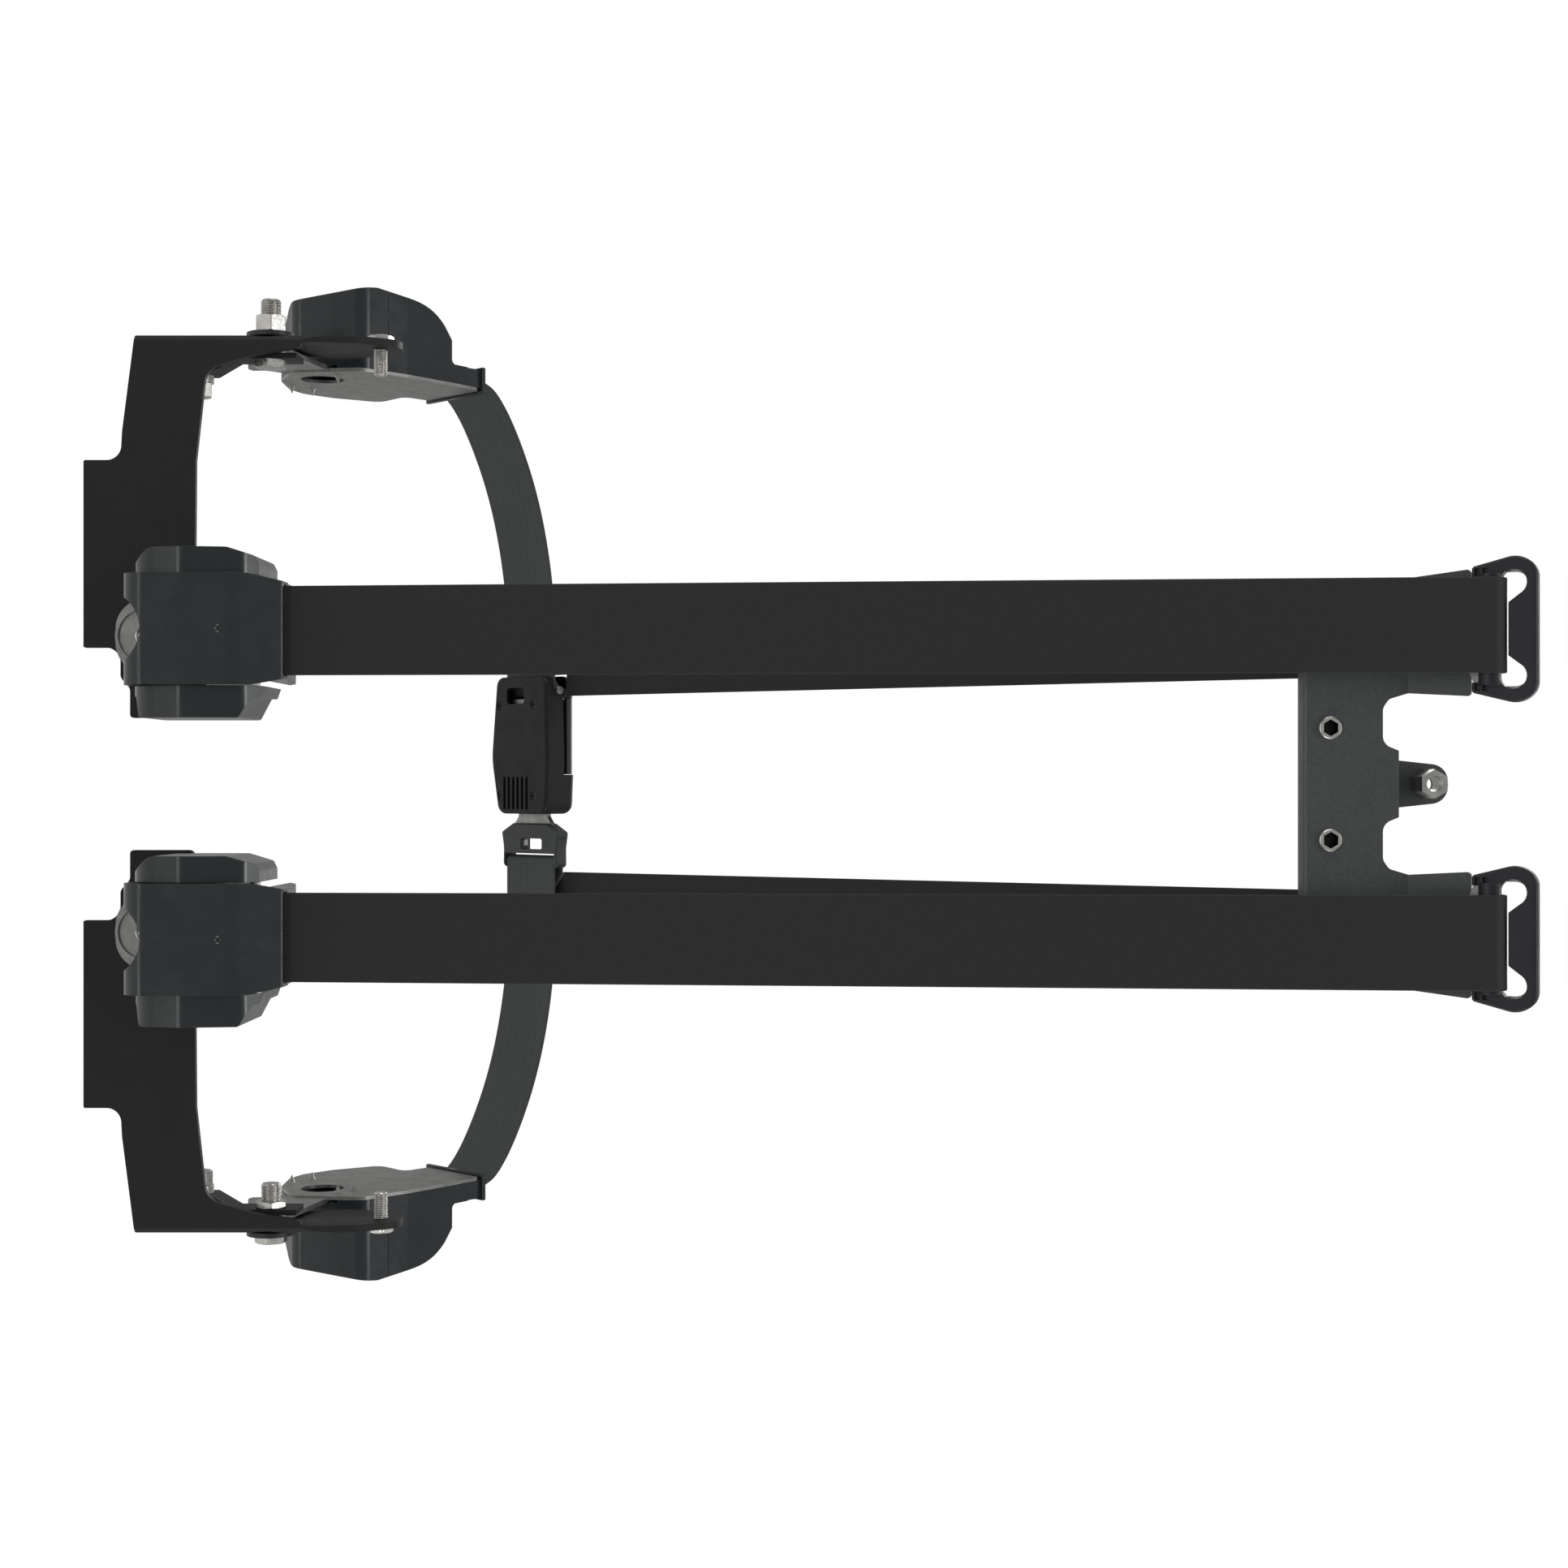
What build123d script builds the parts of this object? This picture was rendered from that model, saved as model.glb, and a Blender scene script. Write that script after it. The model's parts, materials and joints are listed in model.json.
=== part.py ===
from build123d import *
from math import cos, radians, sin, tan
import os

# Four-point retractor seat belt with its seat brackets, in millimetres.
# +Z is up, the wearer faces -Y and +X is the wearer's left.  The origin is midway
# between the two lower anchor holes, on the brackets' front (mounting) face.

# --- driving dimensions -------------------------------------------------------
WEBBING_WIDTH = 47.0
WEBBING_THICKNESS = 1.2
ANCHOR_X = 80.5               # each anchor hole's, and shoulder retractor's, distance from the middle
STRAP_X = 78.0                # centre of each shoulder strap at the top and in front
ANCHOR_HOLE_R = 5.75
PLATE = 4.0                   # lower bracket sheet
BRACKET_OUTER_X = 245.0
UPPER_PLATE = 3.0
UPPER_REAR_Y = 107.0
RUN = 0.05                    # radial clearance of a shaft in its hole
GAP = 0.3                     # clearance between parts that pass each other
SIDES = (("left", 1), ("right", -1))

# shoulder retractor, measured from its own anchor hole
ROLL_Y, ROLL_Z, ROLL_R = 37.0, 37.0, 22.0
COVER_HALF = 29.0
SENSOR_CAP = 14.0
SPRING_CAP = 17.0
COVER_WALL = 1.6

# turning loop: a flat ring that leans back from the bracket's ear
BAR_Y, BAR_Z, BAR_R = 127.1, 695.2, 6.2
LEAN = 25.0
BAR_TO_BOLT = 26.65
BAR_OFFSET = 1.3              # bar axis behind the middle of the steel plate
LOOP_X = 76.0

# lap strap and buckle share one slanted frame: x along X, z away from the wearer's lap
MOUTH_Y, MOUTH_Z = -143.0, 146.4
BELT = Plane(origin=(0, MOUTH_Y, MOUTH_Z), x_dir=(1, 0, 0), z_dir=(0, -1, 1))
BUCKLE_BACK, BUCKLE_SPLIT, BUCKLE_FRONT = 52.0, 63.5, 76.0
BUCKLE_MIN_X, BUCKLE_MAX_X = -18.6, 67.0
BUCKLE_HALF = 26.0
LOOP_PIN_R = 2.4
LOOP_PIN_Z = 63.0
BUCKLE_PIN_X, TONGUE_PIN_X = 58.0, 48.0   # distances from the middle
STRIP_Z = 67.6                # shoulder strap's layer over the buckle
TONGUE_Z0, TONGUE_Z1 = 61.5, 64.5

# lap retractor on the left side, in its own slanted frame (spool along local y)
LAP_FACE_X = 235.4
LAP_DEPTH = 50.0
LAP_ROLL_R = 17.0
LAP_ROLL_X = 259.0
LAP_ROLL_DOWN = 57.0          # roll axis below the webbing mouth, along the strap
EAR_BOLT = (-10.0, 64.6)      # (Y, Z) of the 7/16 inch bolt in the bracket's ear
STUD = (-22.0, 123.0)         # (Y, Z) of the M8 bolt in the ear's tip
STRAP_BOLT = (-12.0, 24.5)    # (Y, Z) of the bolt at the anchor strap's lower end


# --- helpers ------------------------------------------------------------------
def outline(*corners):
    """Face from (x, y) or (x, y, radius) corners; a radius is cut to what its edges leave."""
    points = [Vector(*c[:2]) for c in corners]
    edges, last = [], None
    for i, corner in enumerate(corners):
        here, before, after = points[i], points[i - 1], points[(i + 1) % len(points)]
        into, out = (here - before).normalized(), (after - here).normalized()
        turn = radians(into.get_angle(out)) if len(corner) == 3 else 0
        reach = 0
        if turn > 0.01:
            room = 0.49 * min((here - before).length, (after - here).length)
            reach = min(corner[2] * tan(turn / 2), room)
        start, end = here - into * reach, here + out * reach
        if last is None:
            first = start
        else:
            edges.append(Line(last, start))
        if reach:
            radius = reach / tan(turn / 2)
            bulge = radius * (1 / cos(turn / 2) - 1)
            edges.append(ThreePointArc(start, here + (out - into).normalized() * bulge, end))
        last = end
    edges.append(Line(last, first))
    return make_face(edges).face()


def along_y(face, y0, y1):
    """Extrude an (X, Z) face from y0 to y1."""
    return extrude(Plane.XZ.offset(-y1) * face, amount=y1 - y0)


def along_x(face, x0, x1):
    """Extrude a (Y, Z) face from x0 to x1."""
    return extrude(Plane.YZ.offset(x0) * face, amount=x1 - x0)


def rod_x(y, z, radius, x0, x1):
    return Pos(x0, y, z) * (Plane.YZ * extrude(Circle(radius), amount=x1 - x0))


def rod_y(x, z, radius, y0, y1):
    return Pos(x, y1, z) * (Plane.XZ * extrude(Circle(radius), amount=y1 - y0))


def hex_x(y, z, flats, x0, x1):
    face = RegularPolygon(flats / 2, 6, major_radius=False)
    return Pos(x0, y, z) * (Plane.YZ * extrude(face, amount=x1 - x0))


def box(x0, x1, y0, y1, z0, z1):
    return Pos((x0 + x1) / 2, (y0 + y1) / 2, (z0 + z1) / 2) * Box(x1 - x0, y1 - y0, z1 - z0)


def mirrored(solid):
    return mirror(solid, Plane.YZ)


def arc_points(centre, radius, start, end, steps):
    """Points on an arc, from the start angle to the end angle in degrees."""
    turn = [radians(start + (end - start) * i / steps) for i in range(steps + 1)]
    return [(centre[0] + radius * cos(a), centre[1] + radius * sin(a)) for a in turn]


def band(points, thickness):
    """Face of constant thickness that follows a line of points."""
    line = [Vector(*p) for p in points]
    left, right = [], []
    for i, point in enumerate(line):
        into = (point - line[max(i - 1, 0)] if i else line[1] - point).normalized()
        out = (line[min(i + 1, len(line) - 1)] - point if i < len(line) - 1 else into)
        out = out.normalized()
        mid = (into + out).normalized()
        normal = Vector(-mid.Y, mid.X)
        reach = thickness / 2 / max(0.3, normal.dot(Vector(-out.Y, out.X)))
        left.append(point + normal * reach)
        right.append(point - normal * reach)
    ring = left + right[::-1]
    return make_face(Polyline(*[(p.X, p.Y) for p in ring], close=True)).face()


def coil(radius, wire, length, turns):
    """Compression spring standing on the XY plane."""
    path = Helix(pitch=length / turns, height=length, radius=radius)
    section = Plane(origin=path @ 0, z_dir=path % 0) * Circle(wire)
    return sweep(section, path=path)


def spiral_spring(inner, outer, strip, width, turns):
    """Clock spring in the XY plane, made of half circles, extruded along Z."""
    step = (outer - inner) / turns / 2
    rings = [inner + step * i for i in range(2 * turns + 1)]

    def side(shift):
        edges, x = [], rings[0] + shift
        for i, radius in enumerate(rings[:-1]):
            end = -(radius + step + shift) if i % 2 == 0 else radius + step + shift
            half = abs(x - end) / 2
            top = half if i % 2 == 0 else -half
            edges.append(ThreePointArc((x, 0), ((x + end) / 2, top), (end, 0)))
            x = end
        return edges, (rings[0] + shift, 0), (x, 0)

    near, a0, a1 = side(-strip / 2)
    far, b0, b1 = side(strip / 2)
    wire = Wire(near + [Line(a1, b1)] + far + [Line(a0, b0)])
    return extrude(make_face(wire.edges()), amount=width)


PARTS = {}


def save(name, *solids):
    PARTS[name] = solids[0] if len(solids) == 1 else Compound(children=list(solids))


def save_pair(name, solid, other=None):
    """A left part and its mirror image on the right."""
    save(name + "_left", solid)
    save(name + "_right", mirrored(solid) if other is None else other)


# --- lower brackets -----------------------------------------------------------
def lower_bracket():
    """Stamped plate: anchor hole inboard, ear bent forward at the outer end."""
    outer, bottom, top = BRACKET_OUTER_X, -34.6, 25.5
    plate = outline(
        (36, -9.2, 2), (52, -9.2, 4), (58, -14.4, 4), (74.3, -14.4, 11), (74.3, bottom, 1),
        (176.5, bottom, 1), (176.5, -14.4, 11), (192, -13.6), (outer, -6.8), (outer, 84),
        (238, 84, 3), (233.5, 57, 12), (226.5, 32, 12), (176, 26.5, 6), (36, top, 3))
    body = along_y(plate, 0, PLATE)
    ear = outline(
        (0, -6.8), (PLATE, -6.8), (PLATE, 84), (0, 112, 18), (-12, 135, 15), (-32, 135, 20),
        (-49, 105, 22), (-30, 40, 20), (0, 4, 3))
    body += along_x(ear, outer - PLATE, outer)
    lip = outline((0, bottom), (-14, bottom, 1), (-14, bottom + PLATE, 1), (0, bottom + PLATE))
    body += along_x(lip, 77, 173)
    bend = body.edges().filter_by(Axis.Z).filter_by_position(Axis.X, outer - 0.1, outer + 0.1)
    body = fillet(bend.sort_by(Axis.Y)[-1], PLATE - 0.2)
    body -= rod_y(ANCHOR_X, 0, ANCHOR_HOLE_R, -1, PLATE + 1)
    body -= rod_x(*EAR_BOLT, 5.6, outer - PLATE - 1, outer + 1)
    body -= rod_x(*STUD, 4.0 + RUN, outer - PLATE - 1, outer + 1)
    return body


def anchor_strap():
    """Z-bent link between the ear bolt and the seat frame's own bolt."""
    path = [(227, 12), (227, 33), (234.6, 46), (234.6, 80)]
    strap = along_y(band(path, 3.0), -22, -2.3)
    strap -= rod_x(*EAR_BOLT, 5.6, 230, 240)
    strap -= rod_x(*STRAP_BOLT, 4.0 + RUN, 220, 230)
    return strap


save_pair("lower_bracket", lower_bracket())
save("anchor_straps", anchor_strap(), mirrored(anchor_strap()))


# --- fasteners of the lower brackets ------------------------------------------
def ear_bolt(head_x0, head_x1, tip_x):
    bolt = hex_x(*EAR_BOLT, 15.9, *sorted((head_x0, head_x1)))
    return bolt + rod_x(*EAR_BOLT, 5.55, *sorted((head_x1, tip_x)))


def ear_nut(x0, x1):
    return hex_x(*EAR_BOLT, 15.9, x0, x1) - rod_x(*EAR_BOLT, 5.55 + RUN, x0 - 1, x1 + 1)


def washer(x0, x1):
    return rod_x(*EAR_BOLT, 13.2, x0, x1) - rod_x(*EAR_BOLT, 5.7, x0 - 1, x1 + 1)


left_bolt = ear_bolt(228.6, 233.0, 266.5)
right_bolt = ear_bolt(-252.3, -247.9, -219.6)
save("ear_bolts", left_bolt, right_bolt)
save("ear_nuts", ear_nut(248.2, 257.5), ear_nut(-232.9, -229.0))
save("ear_washers", washer(245.2, 247.8), washer(-247.8, -245.2))
stud = hex_x(*STUD, 13, 245.2, 248.8) + rod_x(*STUD, 4.0, 226.6, 245.2)
strap_bolt = hex_x(*STRAP_BOLT, 13, 213.0, 220.8) + rod_x(*STRAP_BOLT, 4.0, 220.8, 233.0)
strap_washer = rod_x(*STRAP_BOLT, 8.0, 221.0, 225.3) - rod_x(*STRAP_BOLT, 4.1, 220, 226)
save("ear_tip_bolts", stud, mirrored(stud))
save("strap_bolts", strap_bolt, mirrored(strap_bolt))
save("strap_washers", strap_washer, mirrored(strap_washer))


# --- shoulder retractors (the same unit on both sides) ------------------------
def retractor_profile(inset):
    """Side profile (Y, Z) of the housing, drawn in from the outside by inset."""
    i = inset
    return outline(
        (7, 3 + i, 1), (70 - i, 3 + i, 12 - i), (70 - i, 62, 16), (56.5 - i, 85.4 - i, 2),
        (44 + i, 85.4 - i, 2), (30, 82 - i, 8), (7, 82 - i, 1))


def shoulder_frame():
    foot = outline((-24, 12, 3), (-16.3, -16.3, 16), (16.3, -16.3, 16), (24, 12, 3), (24, 76, 3),
                   (-24, 76, 3))
    frame = along_y(foot, PLATE, PLATE + 2.5)
    cheek = outline((PLATE + 2.5, 10), (55, 10, 14), (64, 40, 16), (52, 62, 6), (PLATE + 2.5, 62))
    for x in (-27.2, 25.2):
        frame += along_x(cheek, x, x + 2.0)
    base = outline((-27.2, 10), (27.2, 10), (27.2, 62), (-27.2, 62))
    frame += along_y(base, PLATE, PLATE + 2.5)
    rim = rod_y(0, 0, 16.3, PLATE + 2.5, PLATE + 4) - rod_y(0, 0, 14.6, 0, 20)
    frame += rim - box(-20, 20, 0, 20, 9, 30)
    frame -= rod_y(0, 0, ANCHOR_HOLE_R, 0, 20)
    frame -= rod_x(ROLL_Y, ROLL_Z, 4.0 + RUN, -40, 40)
    frame += rod_x(PAWL_Y, PAWL_Z, 2.0, 25.2, 33.5)
    return frame


def shoulder_cover():
    """Rear shell: tapers to the webbing outlet, cut away round the anchor hole."""
    front = outline((-COVER_HALF, 0), (COVER_HALF, 0), (COVER_HALF, 69, 8), (25.0, 88), (-25.0, 88),
                    (-COVER_HALF, 69, 8))
    open_front = outline((-40, -5), (40, -5), (40, 60), (24.0, 83), (24.0, 95), (-24.0, 95),
                         (-24.0, 83), (-40, 60))
    shell = along_x(retractor_profile(0), -COVER_HALF, COVER_HALF) & along_y(front, 0, 80)
    hollow = along_x(retractor_profile(COVER_WALL), -40, 40)
    hollow += box(-40, 40, 0, 9, 4.6, 80.4)
    shell -= hollow & along_y(open_front, 0, 80)
    shell -= box(-24, 24, 47, 54.5, 79, 95)
    shell -= rod_y(0, -4.5, 18.5, 0, 80)
    shell -= Pos(0, 71.6, 55) * Sphere(2.9)
    return shell


def cap(profile, x0, x1, plan, plan_inside):
    """End cap: side profile limited by a plan outline, hollow, with its outer edge eased."""
    solid = along_x(profile(0.6), x0, x1) & along_y(plan, 0, 80)
    inner = along_x(profile(0.6 + COVER_WALL), x0, x1) + along_x(
        outline((0, 6), (20, 6), (20, 78), (0, 78)), x0, x1)
    return solid - (inner & along_y(plan_inside, 0, 80))


def cap_profile(inset):
    i = inset
    return outline((8, 5 + i, 3), (60 - i, 5 + i, 18), (66 - i, 34, 14), (62 - i, 64, 12),
                   (46, 80 - i, 6), (8, 80 - i, 3))


def sensor_cap():
    x0, x1 = COVER_HALF + 0.1, COVER_HALF + SENSOR_CAP
    plan = outline((x0, 4), (x0 + 3, 4, 2), (x1, 16, 9), (x1, 57, 8), (x1 - 4, 70, 2),
                   (x1 - 8, 72, 2), (x0, 72))
    inside = outline((x0, 6), (x0 + 3, 6), (x1 - 1.8, 17), (x1 - 1.8, 56), (x1 - 5.5, 68.5),
                     (x0, 70))
    return cap(cap_profile, x0, x1, plan, inside)


def spring_cap():
    x0, x1 = -COVER_HALF - 0.1, -COVER_HALF - SPRING_CAP
    step = x0 - 5.5
    plan = outline((x0, 4), (x0, 74), (step, 72, 1), (step, 69, 1), (x1, 63, 2), (x1, 10, 2),
                   (step, 8, 1), (step, 5, 1))
    inside = outline((x0, 6), (x0, 72), (step + 2, 68), (x1 + 1.8, 61), (x1 + 1.8, 12), (step, 10))
    return cap(cap_profile, x1, x0, plan, inside)


TEETH = 12
RATCHET_R, ROOT_R = 15.0, 12.4
PAWL_Y, PAWL_Z = 21.0, 62.0
TOOTH_PHASE = 20.4            # turns a gap between teeth to face the pawl


def ratchet(tip, root, teeth, phase):
    """Ratchet wheel outline: one steep and one sloping flank on each tooth."""
    points = []
    for i in range(teeth):
        base = radians(phase + 360 / teeth * i)
        gap_end = base + radians(9)
        points += [(root * cos(base), root * sin(base)), (root * cos(gap_end), root * sin(gap_end)),
                   (tip * cos(base + radians(26)), tip * sin(base + radians(26)))]
    return make_face(Polyline(*points, close=True)).face()


def shoulder_spool():
    """Core, two flanges, shaft through both cheeks and the ratchet wheel on its end."""
    spool = rod_x(ROLL_Y, ROLL_Z, 4.0, -43.6, 34.0)
    spool += rod_x(ROLL_Y, ROLL_Z, 7.0, -24.9, 24.9)
    for x in (-24.9, 24.1):
        spool += rod_x(ROLL_Y, ROLL_Z, 24.0, x, x + 0.8)
    wheel = Plane.YZ.offset(28.0) * ratchet(RATCHET_R, ROOT_R, TEETH, TOOTH_PHASE)
    return spool + Pos(0, ROLL_Y, ROLL_Z) * extrude(wheel, amount=3.0)


def webbing_roll(radius, core, half):
    return rod_x(0, 0, radius, -half, half) - rod_x(0, 0, core, -half - 1, half + 1)


PAWL_FACE = outline((-3.6, 3.6, 3.4), (3.6, 3.6, 3.4), (3.4, -5, 3), (-1.2, -13, 3),
                    (-1.2, -22.9), (0.7, -23.6), (0.7, -25.8), (-1.2, -26.6), (-4.2, -26.6, 1),
                    (-4.2, -10, 4))


def lock_pawl():
    """Lever on the cheek's pin whose tooth drops between the ratchet's teeth."""
    pawl = Pos(0, PAWL_Y, PAWL_Z) * extrude(Plane.YZ.offset(28.2) * PAWL_FACE, amount=2.6)
    return pawl - rod_x(PAWL_Y, PAWL_Z, 2.0 + RUN, 25, 36)


shoulder_units = {
    "shoulder_frame": shoulder_frame(),
    "shoulder_cover": shoulder_cover(),
    "shoulder_sensor_cap": sensor_cap(),
    "shoulder_spring_cap": spring_cap(),
    "shoulder_spool": shoulder_spool(),
    "shoulder_webbing_roll": Pos(0, ROLL_Y, ROLL_Z) * webbing_roll(
        ROLL_R, 7.1, WEBBING_WIDTH / 2),
    "shoulder_lock_pawl": lock_pawl(),
}
for name, solid in shoulder_units.items():
    for side, sign in SIDES:
        save(name + "_" + side, Pos(sign * ANCHOR_X, 0, 0) * solid)

clock_spring = spiral_spring(5.2, 15.4, 0.5, 9.0, 6)
shoulder_spring = Pos(-43.5, ROLL_Y, ROLL_Z) * (Plane.YZ * clock_spring)


# --- lap retractors -----------------------------------------------------------
# The slanted frame's y axis is the spool's; its x axis runs along the strap to the mouth.
LAP = Plane(origin=(0, MOUTH_Y, MOUTH_Z), x_dir=(0, -1, 1), z_dir=(1, 0, 0))


def lap_rod(x, radius, y0, y1, along):
    """Cylinder parallel to the lap spool, at height x in X and a distance along the strap."""
    rod = Plane.XZ * extrude(Circle(radius), amount=y1 - y0)
    return LAP * (Pos(along, y1, x) * rod)


LAP_SIDE = [(-60, 66, 8), (-56, 107, 10), (-78, 129, 8), (-104, 149.5, 3), (-124, 164, 2),
            (-160, 129, 2), (-146, 116, 5), (-166, 98, 8), (-150, 72, 8), (-134, 57, 8),
            (-119, 52, 8), (-90, 53, 8)]


def lap_outline(inset):
    cy, cz = -110, 100
    shrink = 1 - inset / 45
    return outline(*[(cy + (y - cy) * shrink, cz + (z - cz) * shrink, r) for y, z, r in LAP_SIDE])


def lap_frame():
    """Steel base with the anchor tab that the ear bolt holds, and two spool cheeks."""
    base = along_x(lap_outline(0), LAP_FACE_X, LAP_FACE_X + 2)
    base -= rod_x(-85, 78, 12.5, 230, 240)
    tab = outline((-2.4, 56, 9), (-2.4, 74, 9), (-22, 78, 6), (-66, 88, 8), (-76, 60, 8), (-58, 41, 10),
                  (-36, 46, 14))
    plate = along_x(tab, 236.3, 239.3)
    plate -= along_x(outline((-80, 30), (-60, 30), (-60, 100), (-80, 100)), 236, LAP_FACE_X + 2)
    plate -= rod_x(*EAR_BOLT, 5.6, 230, 240)
    for y, z in ((-55.6, 50.5), (-45, 59.7)):
        plate -= rod_x(y, z, 2.6, 230, 240)
    frame = base + plate
    for u0, w in ((-80, -26.1), (-92, 26.1)):
        frame += LAP * box(u0, -40, w - 0.9, w + 0.9, LAP_FACE_X, 267)
    frame -= lap_rod(LAP_ROLL_X, 4.0 + RUN, -40, 40, -LAP_ROLL_DOWN)
    for y, z in ((-106, 56), (-116, 66), (-70, 90), (-82, 97)):
        tip = Plane.YZ * Cone(1.9, 0.2, 4.2, align=(Align.CENTER, Align.CENTER, Align.MIN))
        frame += Pos(LAP_FACE_X, y, z) * Rot(0, 0, 180) * tip
    return frame


def lap_crest(wall):
    """Height over the spool: rises to a crest at mid height, then falls to the end wall."""
    return along_y(outline((220, 30), (262 - wall, 56 + wall), (276 - wall, 63 + wall, 8),
                           (284.5 - wall, 114, 5), (279.5 - wall, 142 - wall, 20),
                           (258 - wall, 153, 6), (258 - wall, 180), (220, 180)), -220, 0)


def lap_shell():
    """Hollow outer cover: deep over the spool, low at the webbing mouth."""
    plan = outline((-130, 237.6), (-130, 288), (-23.2, 288, 8), (-23.2, 248.4, 3),
                   (-10, 248.4), (-10, 237.6))
    inside = outline((-130, 230), (-130, 290), (-25.2, 290), (-25.2, 246.6), (0, 246.6), (0, 230))

    def along_w(face):
        return LAP * extrude(Plane.XZ.offset(-70) * face, amount=140)

    outer = along_x(lap_outline(0), 237.6, 290) & along_w(plan) & lap_crest(0)
    inner = along_x(lap_outline(2.6), 230, 290) & along_w(inside) & lap_crest(2.0)
    inner += LAP * box(-30, 0, -24.2, 24.2, 237.6, 246.6)
    return outer - inner - along_x(outline((-5, 30), (-5, 92), (-80, 92), (-80, 30)), 235, 239.6)


def lap_boot():
    """Rubber-like lip round the webbing mouth."""
    body = LAP * box(-9.8, 2.4, -25.6, 25.6, 237.6, 248.4)
    lip = LAP * box(0.2, 2.6, -28, 28, 234, 249.4)
    return body + lip - LAP * box(-12, 5, -24.2, 24.2, 238.8, 246.6)


LAP_END = Plane(origin=(0, MOUTH_Y, MOUTH_Z), x_dir=(0, -1, 1), z_dir=(0, 1, 1))
LAP_TURN = 65.1               # the lap pawl's place round its ratchet, from the shoulder's
LAP_PAWL_U, LAP_PAWL_X = -86.4, 255.0


def lap_spool():
    spool = lap_rod(LAP_ROLL_X, 4.0, -29, 50, -LAP_ROLL_DOWN)
    spool += lap_rod(LAP_ROLL_X, 7.0, -24.9, 24.9, -LAP_ROLL_DOWN)
    for w in (-24.9, 24.1):
        spool += lap_rod(LAP_ROLL_X, 18.6, w, w + 0.8, -LAP_ROLL_DOWN)
    wheel = Rot(0, 0, LAP_TURN) * ratchet(RATCHET_R, ROOT_R, TEETH, TOOTH_PHASE)
    return spool + LAP_END * (Pos(-LAP_ROLL_DOWN, LAP_ROLL_X, -32.5) * extrude(wheel, amount=3.0))


def lap_roll():
    roll = Plane.XZ * extrude(Circle(LAP_ROLL_R) - Circle(7.1), amount=WEBBING_WIDTH)
    return LAP * (Pos(-LAP_ROLL_DOWN, WEBBING_WIDTH / 2, LAP_ROLL_X) * roll)


def lap_pawl():
    lever = extrude(PAWL_FACE, amount=2.6) - extrude(Circle(2.0 + RUN), amount=2.6)
    place = Pos(LAP_PAWL_U, LAP_PAWL_X, -32.3) * Rot(0, 0, LAP_TURN)
    return LAP_END * (place * lever)


def lap_pawl_pin():
    pin = Pos(LAP_PAWL_U, LAP_PAWL_X, -33.5) * extrude(Circle(2.0), amount=6.6)
    return LAP_END * pin


lap_spring = LAP_END * (Pos(-LAP_ROLL_DOWN, LAP_ROLL_X, -47) * clock_spring)
shell = lap_shell()
split = box(200, 300, -220, 0, 119.2, 200)
lap_cover, lap_end_cover = shell - split, shell & box(200, 300, -220, 0, 119.4, 200)
save_pair("lap_frame", lap_frame() + lap_pawl_pin())
save_pair("lap_cover", lap_cover)
save("lap_end_covers", lap_end_cover, mirrored(lap_end_cover))
save("lap_webbing_mouths", lap_boot(), mirrored(lap_boot()))
save_pair("lap_spool", lap_spool())
save_pair("lap_webbing_roll", lap_roll())
save_pair("lap_lock_pawl", lap_pawl())
save("rewind_springs", *[Pos(sign * ANCHOR_X, 0, 0) * shoulder_spring for _, sign in SIDES],
     lap_spring, mirrored(lap_spring))


# --- upper bracket and turning loops ------------------------------------------
LEAN_COS, LEAN_SIN = cos(radians(LEAN)), sin(radians(LEAN))
PIVOT_Y = BAR_Y - BAR_TO_BOLT * LEAN_SIN - BAR_OFFSET * LEAN_COS
PIVOT_Z = BAR_Z - BAR_TO_BOLT * LEAN_COS + BAR_OFFSET * LEAN_SIN
# the loop's own frame: y up the loop, z forward through its steel plate
LOOP = Plane(origin=(LOOP_X, PIVOT_Y, PIVOT_Z), x_dir=(1, 0, 0), z_dir=(0, -LEAN_COS, LEAN_SIN))
EAR_Z = 1.8                   # ear's rear face in the loop's frame
PIVOT_R = 5.55
SCREW_X, SCREW_Z, SCREW_NECK_R = 28.15, 620.6, 5.2
STANDOFF_Z = 678.0


def upper_bracket():
    front, low = UPPER_REAR_Y - UPPER_PLATE, 607.2
    half = [(103, low, 2), (103, 660), (45.5, 660), (42.5, 650, 4), (38, 647, 5), (20, 647, 6),
            (16.7, 655)]
    plate = along_y(outline(*half, *[(-c[0], *c[1:]) for c in reversed(half)]), front, UPPER_REAR_Y)
    plate += box(-103, 103, 94, UPPER_REAR_Y, low, low + UPPER_PLATE)
    bend = plate.edges().filter_by(Axis.X).sort_by_distance((0, UPPER_REAR_Y, low))[0]
    plate = fillet(bend, UPPER_PLATE - 0.3)
    ear = outline((45.5 - LOOP_X, -15.2), (103 - LOOP_X, -15.2), (106.5 - LOOP_X, 16.5, 2),
                  (43.5 - LOOP_X, 16.5, 2))
    ear = LOOP * extrude(Plane.XY.offset(EAR_Z) * ear, amount=UPPER_PLATE)
    ear -= LOOP * extrude(Circle(PIVOT_R + RUN), amount=10)
    plate = plate + ear + mirrored(ear)
    web = outline((-16.7, front + 1), (16.7, front + 1), (13.5, 67), (-13.5, 67))
    plate += Pos(0, 0, 652) * extrude(web, amount=3)
    tab = outline((-13.5, 652), (13.5, 652), (9.4, 690, 9), (-9.4, 690, 9))
    plate += along_y(tab, 67, 70)
    plate -= rod_y(0, STANDOFF_Z, 4.0, 60, 80)
    for x in (-SCREW_X, SCREW_X):
        plate -= rod_y(x, SCREW_Z, SCREW_NECK_R + RUN, 100, 110)
    return plate


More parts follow.
